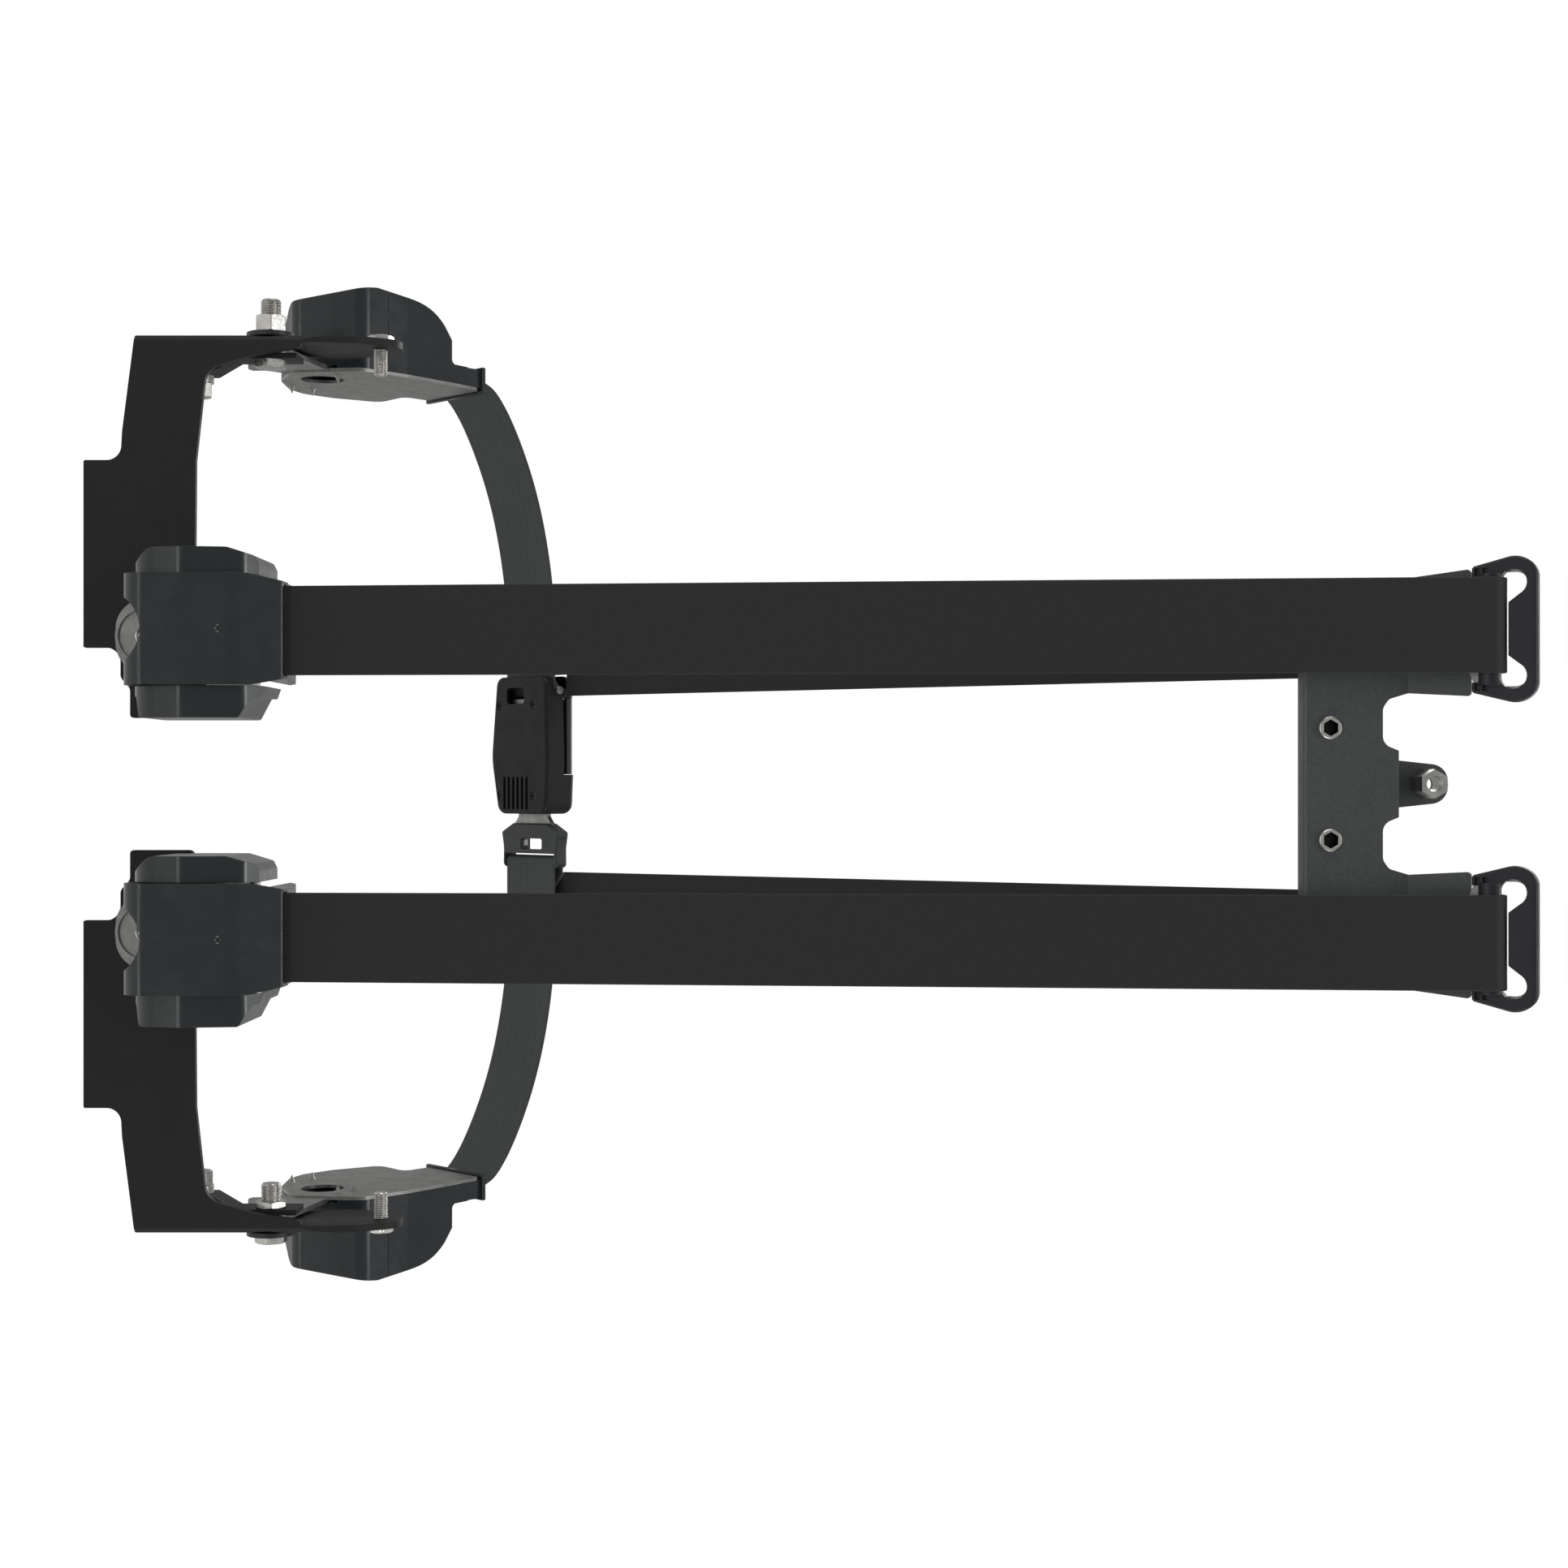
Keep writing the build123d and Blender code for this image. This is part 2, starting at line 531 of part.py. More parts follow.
def socket_screw(x):
    screw = rod_y(x, SCREW_Z, 5.65, UPPER_REAR_Y, UPPER_REAR_Y + 1.6)
    screw = chamfer(screw.edges().sort_by(Axis.Y)[-1], 0.5)
    screw += rod_y(x, SCREW_Z, SCREW_NECK_R, 103.7, UPPER_REAR_Y)
    screw += rod_y(x, SCREW_Z, 4.9, 76, 103.7)
    socket = Plane.XZ.offset(-UPPER_REAR_Y - 1.6) * RegularPolygon(3.65, 6, major_radius=False)
    return screw - Pos(x, 0, SCREW_Z) * extrude(socket, amount=7)


def standoff():
    body = Plane.XZ.offset(-89) * (RegularPolygon(6.5, 6, major_radius=False) - Circle(4.0))
    return Pos(0, 0, STANDOFF_Z) * extrude(body, amount=19)


EYE_X, EYE_Y, EYE_R = 22.9, 37.4, 6.5
LIP_X, LIP_Y = 13.0, 35.2
SLOT_LOW = BAR_TO_BOLT + BAR_R + 0.1


def slot_face(grow):
    """Webbing slot: two round eyes with a wedge-shaped lip hanging between them."""
    slot = outline((-EYE_X, SLOT_LOW - grow), (EYE_X, SLOT_LOW - grow), (EYE_X, 43.9 + grow),
                   (18.3, 42.0 + grow), (LIP_X, LIP_Y + grow), (-LIP_X, LIP_Y + grow),
                   (-18.3, 42.0 + grow), (-EYE_X, 43.9 + grow))
    return slot + [Pos(x, EYE_Y) * Circle(EYE_R + grow) for x in (-EYE_X, EYE_X)]


def slab(face, z0, z1):
    return extrude(Plane.XY.offset(z0) * face, amount=z1 - z0)


def loop_steel():
    body = outline((-13, -13, 12), (13, -13, 12), (15, 14, 3), (30, 19.5, 3), (33.5, 36, 10),
                   (27, 47.3, 8), (-27, 47.3, 8), (-33.5, 36, 10), (-30, 19.5, 3), (-15, 14, 3))
    slot = outline((-28, BAR_TO_BOLT + 2.5, 3), (28, BAR_TO_BOLT + 2.5, 3), (28, 44.3, 6), (-28, 44.3, 6))
    return LOOP * slab(body - slot - Circle(PIVOT_R + RUN), -1.5, 1.5)


def loop_cover(steel):
    """Moulded skin over the steel ring, with the round bar that the webbing turns on."""
    rim = outline((-31, 17.6, 2), (31, 17.6, 2), (36.8, 40, 14), (31, 49, 14), (-31, 49, 14),
                  (-36.8, 40, 14))
    skin = slab(rim, -4.6, 3.6)
    edges = skin.edges().group_by(Axis.Z)[0]
    skin = fillet(edges, 1.6)
    skin -= Pos(0, 14, 8) * Box(90, 16, 13)
    bar = Pos(-27.5, BAR_TO_BOLT, -BAR_OFFSET) * (Plane.YZ * extrude(Circle(BAR_R), amount=55))
    hollow = outline((-26, 17), (26, 17), (26, SLOT_LOW), (-26, SLOT_LOW))
    skin = skin - slab(hollow, -9, 9) + bar - slab(slot_face(0), -9, 9)
    for x in (-28.2, 28.2):
        for y in (20.4, 24.2):
            skin -= Pos(x, y, -4.6) * Box(3.6, 2.4, 3.0)
    return LOOP * skin - steel


def loop_pivot():
    """Shouldered rivet through the ear and the loop, with a low head in front."""
    rivet = slab(Circle(PIVOT_R), -2, EAR_Z + UPPER_PLATE + 1.0)
    rivet += slab(Circle(8.0), EAR_Z + UPPER_PLATE + 0.02, EAR_Z + UPPER_PLATE + 1.1)
    rear = slab(Circle(9.0), -6.2, -1.8)
    rear = fillet(rear.edges().group_by(Axis.Z)[0], 2.4)
    return LOOP * (rivet + rear)


steel = loop_steel()
save("upper_bracket", upper_bracket())
save("socket_screws", socket_screw(-SCREW_X), socket_screw(SCREW_X))
save("tether_standoff", standoff())
save_pair("turning_loop", steel)
save_pair("turning_loop_cover", loop_cover(steel))
save("turning_loop_pivots", loop_pivot(), mirrored(loop_pivot()))


# --- buckle -------------------------------------------------------------------
WALL = 2.0
FRAME_Z0 = 56.5
LATCH_X, LATCH_Z, TAIL_X = 22.0, 67.8, 45.1
BUTTON_X0, BUTTON_X1 = 6.0, 53.0
BUTTON_TOP, BUTTON_UNDER, BUTTON_SIDE = 75.5, 73.2, 25.0
FORK_HALF = 2.8               # half the gap in the latch's tail, over the ejector spring
NOSE_POCKET = 0.9             # depth in the button's underside, over the rising latch nose
PLUNGER_X0, PLUNGER_X1 = 42.0, 45.0
SPRING_X, SPRING_Y = 31.0, 15.0
CASE_SCREWS = [(x, y) for x in (-7.3, 49.2) for y in (-21.0, 12.0)]


def case_outline(inset):
    i = inset
    return outline((BUCKLE_MIN_X + i, -BUCKLE_HALF + 2.5 + i, 7), (16, -BUCKLE_HALF - 4.5 + i, 40),
                   (BUCKLE_MAX_X - i, -BUCKLE_HALF + 1 + i, 6),
                   (BUCKLE_MAX_X - i, BUCKLE_HALF - 2 - i, 6), (14, BUCKLE_HALF - i, 30),
                   (BUCKLE_MIN_X + i, BUCKLE_HALF - 2 - i, 7))


def case_openings():
    mouth = box(53.6, 70, -24.3, 24.3, 57.6, 69.4)
    slot = box(-22, -12, -14.6, 14.6, TONGUE_Z0 - 0.5, TONGUE_Z1 + 0.5)
    pin = Pos(BUCKLE_PIN_X, 25.05, LOOP_PIN_Z) * (
        Plane.XZ * extrude(Circle(LOOP_PIN_R + RUN), amount=50.1))
    return mouth + slot + pin


def buckle_housing():
    """Back shell with its moulded window, six vents and four screw seats."""
    shell = slab(case_outline(0), BUCKLE_BACK, BUCKLE_SPLIT)
    shell = fillet(shell.edges().group_by(Axis.Z)[0], 2.4)
    shell -= slab(case_outline(WALL), BUCKLE_BACK + WALL, 80)
    for x, y in CASE_SCREWS:
        shell += Pos(x, y, BUCKLE_BACK + 1) * extrude(Circle(3.0), amount=FRAME_Z0 - 53.2)
    shell -= case_openings()
    shell -= slab(outline((50, -14, 2), (60, -14, 2), (60, 3, 2), (50, 3, 2)), 50, 56)
    for i in range(6):
        y = -16.5 + 4.4 * i
        shell -= slab(outline((-16, y - 1.1, 1), (4.6, y - 1.1, 1), (4.6, y + 1.1, 1),
                              (-16, y + 1.1, 1)), 50, 55)
    for x, y in CASE_SCREWS:
        shell -= Pos(x, y, 50) * extrude(Circle(2.6), amount=5)
        shell -= Pos(x, y, 50) * extrude(Circle(1.3), amount=20)
    return BELT * shell


def buckle_cover():
    """Front shell, cut away on its top face and upper side for the press button."""
    shell = slab(case_outline(0), BUCKLE_SPLIT + 0.02, BUCKLE_FRONT)
    shell = fillet(shell.edges().group_by(Axis.Z)[-1], 5.5)
    shell -= slab(case_outline(WALL), 60, BUCKLE_FRONT - WALL)
    shell -= case_openings()
    shell -= box(BUTTON_X0 - GAP, BUTTON_X1 + GAP, -15.3, 30, 65.5, 80)
    return BELT * shell


def buckle_frame():
    """Steel channel that carries the latch pin and the ejector spring's stop."""
    base = outline((-12, -22, 5), (53, -22, 3), (53, 22, 3), (-12, 22, 5))
    frame = slab(base, FRAME_Z0, FRAME_Z0 + 2.5)
    for x, y in CASE_SCREWS:
        frame -= Pos(x, y, 50) * extrude(Circle(1.25 + RUN), amount=10)
    for y in (-10.2, 8.2):
        frame += box(12, 32, y, y + 2.0, FRAME_Z0, 70.5)
    frame += box(45.5, 47.5, -9, 9, FRAME_Z0, 65)
    pin = Pos(LATCH_X, 10.2, LATCH_Z) * (Plane.XZ * extrude(Circle(1.5), amount=20.4))
    return BELT * (frame + pin)


def buckle_button():
    """Press button: front plate, skirt down the upper side, plunger over the latch."""
    face = outline((BUTTON_X0, -15, 4), (BUTTON_X1, -15, 4), (BUTTON_X1, BUTTON_SIDE),
                   (BUTTON_X0, BUTTON_SIDE))
    button = slab(face, BUTTON_UNDER, BUTTON_TOP)
    button += box(BUTTON_X0, BUTTON_X1, BUTTON_SIDE - 2.6, BUTTON_SIDE, 68.4, BUTTON_TOP)
    corner = button.edges().filter_by(Axis.X).sort_by_distance((30, BUTTON_SIDE, BUTTON_TOP))[0]
    button = fillet(corner, 5.5)
    for i in range(5):
        button -= box(12 + 8 * i, 15 + 8 * i, -11, 18, BUTTON_TOP - 0.5, 80)
    button -= box(BUTTON_X0 - 1, 11.8, -8, 8, BUTTON_UNDER - 1, BUTTON_UNDER + NOSE_POCKET)
    button += box(PLUNGER_X0, PLUNGER_X1, -4, 4, 69.6, BUTTON_UNDER + 0.5)
    return BELT * button


def buckle_latch():
    """Rocker on the frame's pin: its nose stands over the tongue's window, and its
    forked tail straddles the ejector spring when the button is down."""
    profile = outline((1.8, 64.8), (5.4, 64.8), (7.0, 66.8, 1), (18, 66.2, 2), (22, 65.2, 3),
                      (26, 66.4, 2), (TAIL_X, 66.8, 1), (TAIL_X, 69.3, 1), (26, 69.4, 2), (22, 70.4, 3),
                      (18, 69.4, 2), (1.8, 69.3, 1))
    lever = Pos(0, 7, 0) * extrude(Plane.XZ * profile, amount=14)
    lever -= box(30, TAIL_X + 1, -FORK_HALF, FORK_HALF, 60, 75)
    pivot = Pos(LATCH_X, 8, LATCH_Z) * (Plane.XZ * extrude(Circle(1.5 + RUN), amount=16))
    return BELT * (lever - pivot)


def buckle_pin():
    pin = Plane.XZ * extrude(Circle(LOOP_PIN_R), amount=49.8)
    return BELT * (Pos(BUCKLE_PIN_X, 24.9, LOOP_PIN_Z) * pin)


def case_screw(x, y):
    screw = Pos(x, y, BUCKLE_BACK + 0.6) * extrude(Circle(2.4), amount=2.3)
    screw += Pos(x, y, BUCKLE_BACK + 2.8) * extrude(Circle(1.25), amount=4.4)
    cross = Box(3.2, 0.8, 1.6) + Box(0.8, 3.2, 1.6)
    return BELT * (screw - Pos(x, y, BUCKLE_BACK + 0.6) * cross)


ejector = box(9.0, 26.0, -6, 6, TONGUE_Z0 + 0.1, TONGUE_Z1 - 0.1)
button_spring = Pos(SPRING_X, SPRING_Y, 59.4) * coil(2.6, 0.4, 13.2, 6)
ejector_spring = Pos(26.9, 0, 63) * (Plane.YZ * coil(1.9, 0.35, 17.8, 7))
save("buckle_housing", buckle_housing())
save("buckle_cover", buckle_cover())
save("buckle_frame", buckle_frame())
save("buckle_button", buckle_button())
save("buckle_latch", buckle_latch())
save("buckle_webbing_pin", buckle_pin())
save("buckle_ejector", BELT * ejector)
save("button_spring", BELT * button_spring)
save("ejector_spring", BELT * ejector_spring)
save("buckle_screws", *[case_screw(x, y) for x, y in CASE_SCREWS])


# --- tongue -------------------------------------------------------------------
def tongue():
    """Steel blade and its moulded grip, which holds the bar that the webbing wraps."""
    blade = outline((-38.5, -20, 2), (-25.5, -18.8), (-20.5, -14, 4), (8.5, -14, 4), (8.5, 14, 4),
                    (-20.5, 14, 4), (-25.5, 18.8), (-38.5, 20, 2))
    latch_window = outline((0.6, -8, 1), (6.2, -8, 1), (6.2, 8, 1), (0.6, 8, 1))
    window = outline((-40.8, -8.7, 1.5), (-34, -8.7, 1.5), (-34, 12.1, 1.5), (-40.8, 12.1, 1.5))
    recess = outline((-42, -10, 1.5), (-33, -10, 1.5), (-33, 20, 1.5), (-42, 20, 1.5))
    plate = slab(blade - latch_window, TONGUE_Z0, TONGUE_Z1)
    grip_face = outline((-24.6, -17, 2), (-24.6, 17, 2), (-30, 28.2, 2), (-40, 26.2, 15),
                        (-52, 26.6, 3), (-52, -26.6, 3), (-40, -26.2, 15), (-30, -28.2, 2))
    grip = slab(grip_face, 58.6, 67.4)
    grip = fillet(grip.edges().group_by(Axis.Z)[0], 1.4)
    grip = fillet(grip.edges().group_by(Axis.Z)[-1], 1.4)
    grip -= box(-60, -43.3, -24.1, 24.1, 50, 80)
    for i in range(6):
        for y in (-27.8, 27.8):
            grip -= Pos(-33.5 - 3.0 * i, y, 63) * Box(1.2, 2.2, 12)
    bar = Pos(-TONGUE_PIN_X, 26, LOOP_PIN_Z) * (Plane.XZ * extrude(Circle(LOOP_PIN_R), amount=52))
    grip = grip + bar - plate - slab(window, 50, 80) - slab(recess, TONGUE_Z1 + 0.4, 80)
    return BELT * (plate - slab(window, 50, 80)), BELT * grip


blade, grip = tongue()
save("tongue_plate", blade)
save("tongue_grip", grip)


# --- webbing ------------------------------------------------------------------
HALF = WEBBING_WIDTH / 2
LAYER = LOOP_PIN_R + 0.1 + WEBBING_THICKNESS / 2
FOLD_IN, FOLD_OUT = STRAP_X - HALF, STRAP_X + HALF


def belt_point(y, z):
    """(Y, Z) in the row of a point in the slanted belt frame."""
    point = BELT.from_local_coords(Vector(0, y, z))
    return point.Y, point.Z


def lap_strap(pin_x):
    """Left lap strap: spool, mouth, arch across the lap, round the pin, up to the fold."""
    roll_tangent = (LAP_ROLL_X - LAP_ROLL_R - GAP - WEBBING_THICKNESS / 2, -LAP_ROLL_DOWN + 4)
    route = [roll_tangent, (241.6, -20), (241.2, 2), (240.0, 8), (236.2, 14), (229, 20.3),
             (219.8, 26.4), (205.7, 34), (188, 41.8), (168, 48.6), (146, 54), (123.3, 57.8),
             (100, 59.6), (80, LOOP_PIN_Z - LAYER), (pin_x, LOOP_PIN_Z - LAYER)]
    route += arc_points((pin_x, LOOP_PIN_Z), LAYER, -90, -270, 8)[1:]
    route += [(FOLD_OUT, LOOP_PIN_Z + LAYER)]
    strap = Plane.XZ.offset(-HALF) * band(route, WEBBING_THICKNESS)
    strap = extrude(strap, amount=WEBBING_WIDTH)
    beyond_fold = outline((FOLD_IN, HALF), (FOLD_OUT, -HALF), (FOLD_OUT + 5, -HALF - 1),
                          (FOLD_OUT + 5, HALF + 1), (FOLD_IN, HALF + 1))
    strap -= slab(beyond_fold, LOOP_PIN_Z + 1, STRIP_Z)
    return BELT * strap


def shoulder_strap():
    """Left shoulder strap: spool, outlet, over the turning loop's bar, down to the fold."""
    wrap = BAR_R + 0.1 + WEBBING_THICKNESS / 2
    tangent = arc_points((ROLL_Y, ROLL_Z), ROLL_R + GAP + WEBBING_THICKNESS / 2, 4, 10, 1)
    outlet = Vector(ANCHOR_X, 50.6, 86)
    low = along_x(band(tangent + [(outlet.Y, outlet.Z)], WEBBING_THICKNESS),
                  ANCHOR_X - HALF, ANCHOR_X + HALF)
    over = arc_points((BAR_Y, BAR_Z), wrap, -7.8, 149.2, 12)
    route = over + [belt_point(BUCKLE_HALF, STRIP_Z), belt_point(-HALF, STRIP_Z)]
    strap = along_x(band(route, WEBBING_THICKNESS), FOLD_IN, FOLD_OUT)
    top = Vector(STRAP_X, *over[0])
    rise = Plane(origin=(0, outlet.Y, outlet.Z), x_dir=(1, 0, 0),
                 z_dir=(0, outlet.Z - top.Z, top.Y - outlet.Y))
    length = (Vector(0, top.Y, top.Z) - Vector(0, outlet.Y, outlet.Z)).length
    lean = outline((ANCHOR_X - HALF, 0), (ANCHOR_X + HALF, 0), (FOLD_OUT, length), (FOLD_IN, length))
    strap += low + rise * slab(lean, -WEBBING_THICKNESS / 2, WEBBING_THICKNESS / 2)
    below_fold = outline((FOLD_IN, HALF), (FOLD_OUT, -HALF), (FOLD_OUT, -HALF - 3),
                         (FOLD_IN - 3, -HALF - 3), (FOLD_IN - 3, HALF))
    return strap - BELT * slab(below_fold, STRIP_Z - 1.5, STRIP_Z + 1.5)


clear_of_buckle = BELT * box(40, BUCKLE_MAX_X + 0.5, -30, BUCKLE_HALF + 0.5, 50, 80)
save("lap_strap_left", lap_strap(BUCKLE_PIN_X))
save("lap_strap_right", mirrored(lap_strap(TONGUE_PIN_X)))
save("shoulder_strap_left", shoulder_strap() - clear_of_buckle)
save("shoulder_strap_right", mirrored(shoulder_strap()))


# --- output -------------------------------------------------------------------
os.makedirs("parts", exist_ok=True)
for name, solid in PARTS.items():
    export_step(solid, "parts/" + name + ".step")
print(len(PARTS), "nodes")
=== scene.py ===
import json
from math import cos, pi, radians, sin, sqrt, tan

import bmesh
import bpy
from mathutils import Matrix, Vector


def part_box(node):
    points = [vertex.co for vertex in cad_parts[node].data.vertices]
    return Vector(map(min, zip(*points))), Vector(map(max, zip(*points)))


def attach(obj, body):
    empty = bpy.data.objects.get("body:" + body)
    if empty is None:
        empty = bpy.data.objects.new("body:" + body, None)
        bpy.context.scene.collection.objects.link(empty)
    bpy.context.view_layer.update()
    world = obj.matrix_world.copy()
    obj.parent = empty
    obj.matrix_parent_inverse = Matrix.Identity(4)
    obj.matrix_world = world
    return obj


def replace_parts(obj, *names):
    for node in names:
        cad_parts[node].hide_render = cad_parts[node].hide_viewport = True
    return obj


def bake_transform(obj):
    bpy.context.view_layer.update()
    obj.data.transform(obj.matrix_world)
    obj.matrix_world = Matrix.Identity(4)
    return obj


# Looks of a four-point retractor seat belt.  The row frame is in metres: +Z up,
# the wearer faces -Y, +X is the wearer's left.

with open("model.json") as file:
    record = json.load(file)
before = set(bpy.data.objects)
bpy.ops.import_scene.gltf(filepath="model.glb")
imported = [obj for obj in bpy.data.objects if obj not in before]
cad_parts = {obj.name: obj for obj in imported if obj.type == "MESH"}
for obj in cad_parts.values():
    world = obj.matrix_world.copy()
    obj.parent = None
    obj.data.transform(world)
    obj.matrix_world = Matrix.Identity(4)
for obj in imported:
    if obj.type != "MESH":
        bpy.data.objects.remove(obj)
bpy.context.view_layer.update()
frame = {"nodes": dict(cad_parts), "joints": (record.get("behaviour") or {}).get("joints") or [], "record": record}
JOINTS = {joint["name"]: joint for joint in frame["joints"]}

MM = 0.001
HALF = 23.5 * MM              # half the webbing's width
THICK = 1.2 * MM
CLEAR = 0.1 * MM
DIAGONAL = Vector((0, sqrt(0.5), sqrt(0.5)))
OUTWARD = Vector((0, -sqrt(0.5), sqrt(0.5)))


# --- places read from the frame -----------------------------------------------
def centre(node):
    low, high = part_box(node)
    return (Vector(low) + Vector(high)) / 2


def size(node):
    low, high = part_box(node)
    return Vector(high) - Vector(low)


def joint_place(name):
    joint = JOINTS[name]
    return Vector(joint["pos_m"]), Vector(joint["axis"]).normalized()


PIN_HEIGHT = 63 * MM
BUCKLE_PIN = centre("buckle_webbing_pin")
MOUTH = BUCKLE_PIN - PIN_HEIGHT * OUTWARD
MOUTH.x = 0
LAYER = 3.1 * MM              # webbing's middle from the axis of the pin it turns on
STRIP = 67.6 * MM             # height of the shoulder strap's layer over the buckle
BUCKLE_TOP = 26 * MM
BUCKLE_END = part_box("buckle_cover")[1][0]
STRAP_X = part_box("shoulder_strap_left")[0][0] + HALF
BAR_TO_BOLT = 26.65 * MM      # from a turning loop's pivot up to its webbing bar
BAR_OFFSET = 1.3 * MM
BAR_R = 6.2 * MM
BAR_WRAP = (149.2, -7.8)      # degrees round the bar where the webbing meets and leaves it
OUTLET = Vector((50.6 * MM, 86 * MM))    # (y, z) of the shoulder retractor's mouth
FOLD_RADIUS = (STRIP - PIN_HEIGHT - LAYER) / 2


def belt(x, y, z):
    """A point of the slanted belt plane: y up along it, z away from the wearer's lap."""
    return Vector((x, 0, 0)) + MOUTH + y * DIAGONAL + z * OUTWARD


# --- node helpers -------------------------------------------------------------
class Paint:
    """A material on a Principled shader, with short calls for its procedural nodes."""

    def __init__(self, name, rough, metallic=0.0, specular=0.5, coat=0.0, coat_rough=0.1):
        self.material = bpy.data.materials.new(name)
        self.material.use_nodes = True
        self.tree = self.material.node_tree
        self.shader = self.tree.nodes["Principled BSDF"]
        settings = {"Roughness": rough, "Metallic": metallic, "Specular IOR Level": specular,
                    "Coat Weight": coat, "Coat Roughness": coat_rough}
        for socket, value in settings.items():
            self.shader.inputs[socket].default_value = value
        self.place = self.node("TexCoord").outputs["Object"]

    def node(self, kind, links=None, **settings):
        made = self.tree.nodes.new("ShaderNode" + kind)
        for key, value in settings.items():
            setattr(made, key, value)
        for socket, source in (links or {}).items():
            if isinstance(source, bpy.types.NodeSocket):
                self.tree.links.new(source, made.inputs[socket])
            else:
                made.inputs[socket].default_value = source
        return made

    def noise(self, scale, detail=3.0, rough=0.55):
        links = {"Vector": self.place, "Scale": scale, "Detail": detail, "Roughness": rough}
        return self.node("TexNoise", links).outputs[0]

    def spread(self, value, low, high, start=0.3, end=0.7):
        links = {"Value": value, "From Min": start, "From Max": end, "To Min": low, "To Max": high}
        return self.node("MapRange", links).outputs[0]

    def colour(self, value, dark, light, start=0.3, end=0.7):
        ramp = self.node("ValToRGB", {"Fac": value})
        for stop, position, tint in zip(ramp.color_ramp.elements, (start, end), (dark, light)):
            stop.position = position
            stop.color = (*tint, 1)
        self.tree.links.new(ramp.outputs[0], self.shader.inputs["Base Color"])

    def roughness(self, value, low, high):
        self.tree.links.new(self.spread(value, low, high), self.shader.inputs["Roughness"])

    def relief(self, *layers, bevel=0.4 * MM):
        """Stack bumps, given as (height, depth), on normals rounded at the edges."""
        normal = self.node("Bevel", {"Radius": bevel}, samples=4).outputs[0]
        for height, depth in layers:
            links = {"Height": height, "Normal": normal, "Distance": depth, "Strength": 1.0}
            normal = self.node("Bump", links).outputs[0]
        self.tree.links.new(normal, self.shader.inputs["Normal"])


def shade(tint, factor):
    return tuple(min(1.0, channel * factor) for channel in tint)


def coated(name, tint, rough, grain, depth, specular=0.5):
    """Powder coat: fine speckle in colour and height."""
    paint = Paint(name, rough, specular=specular)
    speckle = paint.noise(grain, 4.0, 0.7)
    paint.colour(speckle, shade(tint, 0.6), shade(tint, 1.5))
    paint.roughness(paint.noise(60, 3.0), rough - 0.06, rough + 0.08)
    paint.relief((speckle, depth), (paint.noise(35, 2.0), 0.02 * MM))
    return paint.material


def moulded(name, tint, rough, grain, depth, coat=0.0, specular=0.5):
    """Moulded plastic: slight cloudiness, a spark-eroded or polished skin."""
    paint = Paint(name, rough, specular=specular, coat=coat, coat_rough=0.16)
    paint.colour(paint.noise(25, 3.0), shade(tint, 0.86), shade(tint, 1.14))
    paint.roughness(paint.noise(90, 4.0), rough - 0.05, rough + 0.07)
    paint.relief((paint.noise(grain, 3.0, 0.65), depth), bevel=0.6 * MM)
    return paint.material


def plated(name, tint, rough, lay=(1.0, 1.0, 1.0)):
    """Zinc or bare steel: fine rolling lines and patchy sheen."""
    paint = Paint(name, rough, metallic=1.0)
    stretch = paint.node("Mapping", {"Vector": paint.place, "Scale": lay})
    links = {"Vector": stretch.outputs[0], "Scale": 900.0, "Detail": 3.0}
    lines = paint.node("TexNoise", links).outputs[0]
    paint.colour(paint.noise(120, 4.0), shade(tint, 0.78), shade(tint, 1.08))
    paint.roughness(lines, rough - 0.08, rough + 0.12)
    paint.relief((lines, 0.012 * MM), bevel=0.25 * MM)
    return paint.material


SOCKET_HEAD_R, SOCKET_R, SOCKET_DEPTH = 5.65 * MM, 4.4 * MM, 7.5 * MM
SOCKET_RIM = 0.2 * MM         # depth under the rear end that the painted shade leaves bright


def socketed(name, tint, rough):
    """Zinc screws, with painted shade inside the hex recesses in the rear ends of the pair."""
    _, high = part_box("socket_screws")
    middle = centre("socket_screws")
    axis = (high[0] - SOCKET_HEAD_R, 0.0, middle.z)
    paint = Paint(name, rough, metallic=1.0)
    place = paint.node("NewGeometry").outputs["Position"]
    parts = paint.node("SeparateXYZ", {"Vector": place})
    across = paint.node("Math", {0: parts.outputs[0]}, operation="ABSOLUTE").outputs[0]
    flat = paint.node("CombineXYZ", {"X": across, "Z": parts.outputs[2]}).outputs[0]
    reach = paint.node("VectorMath", {0: flat, 1: axis}, operation="DISTANCE").outputs["Value"]
    near = paint.node("Math", {0: reach, 1: SOCKET_R}, operation="LESS_THAN").outputs[0]
    half = SOCKET_DEPTH / 2
    depth = {0: parts.outputs[1], 1: high[1] - half - SOCKET_RIM, 2: half}
    deep = paint.node("Math", depth, operation="COMPARE").outputs[0]
    painted_recess_shade = paint.node("Math", {0: near, 1: deep}, operation="MULTIPLY").outputs[0]
    # painted shade: the zinc inside the hex recesses is darkened almost to black to stand in for the shade there
    paint.colour(painted_recess_shade, tint, shade(tint, 0.04), 0.0, 1.0)
    lines = paint.noise(900, 3.0)
    paint.roughness(lines, rough - 0.08, rough + 0.12)
    paint.relief((lines, 0.006 * MM), bevel=0.25 * MM)
    return paint.material


WEFT = 0.9 * MM
WARP = 1.5 * MM


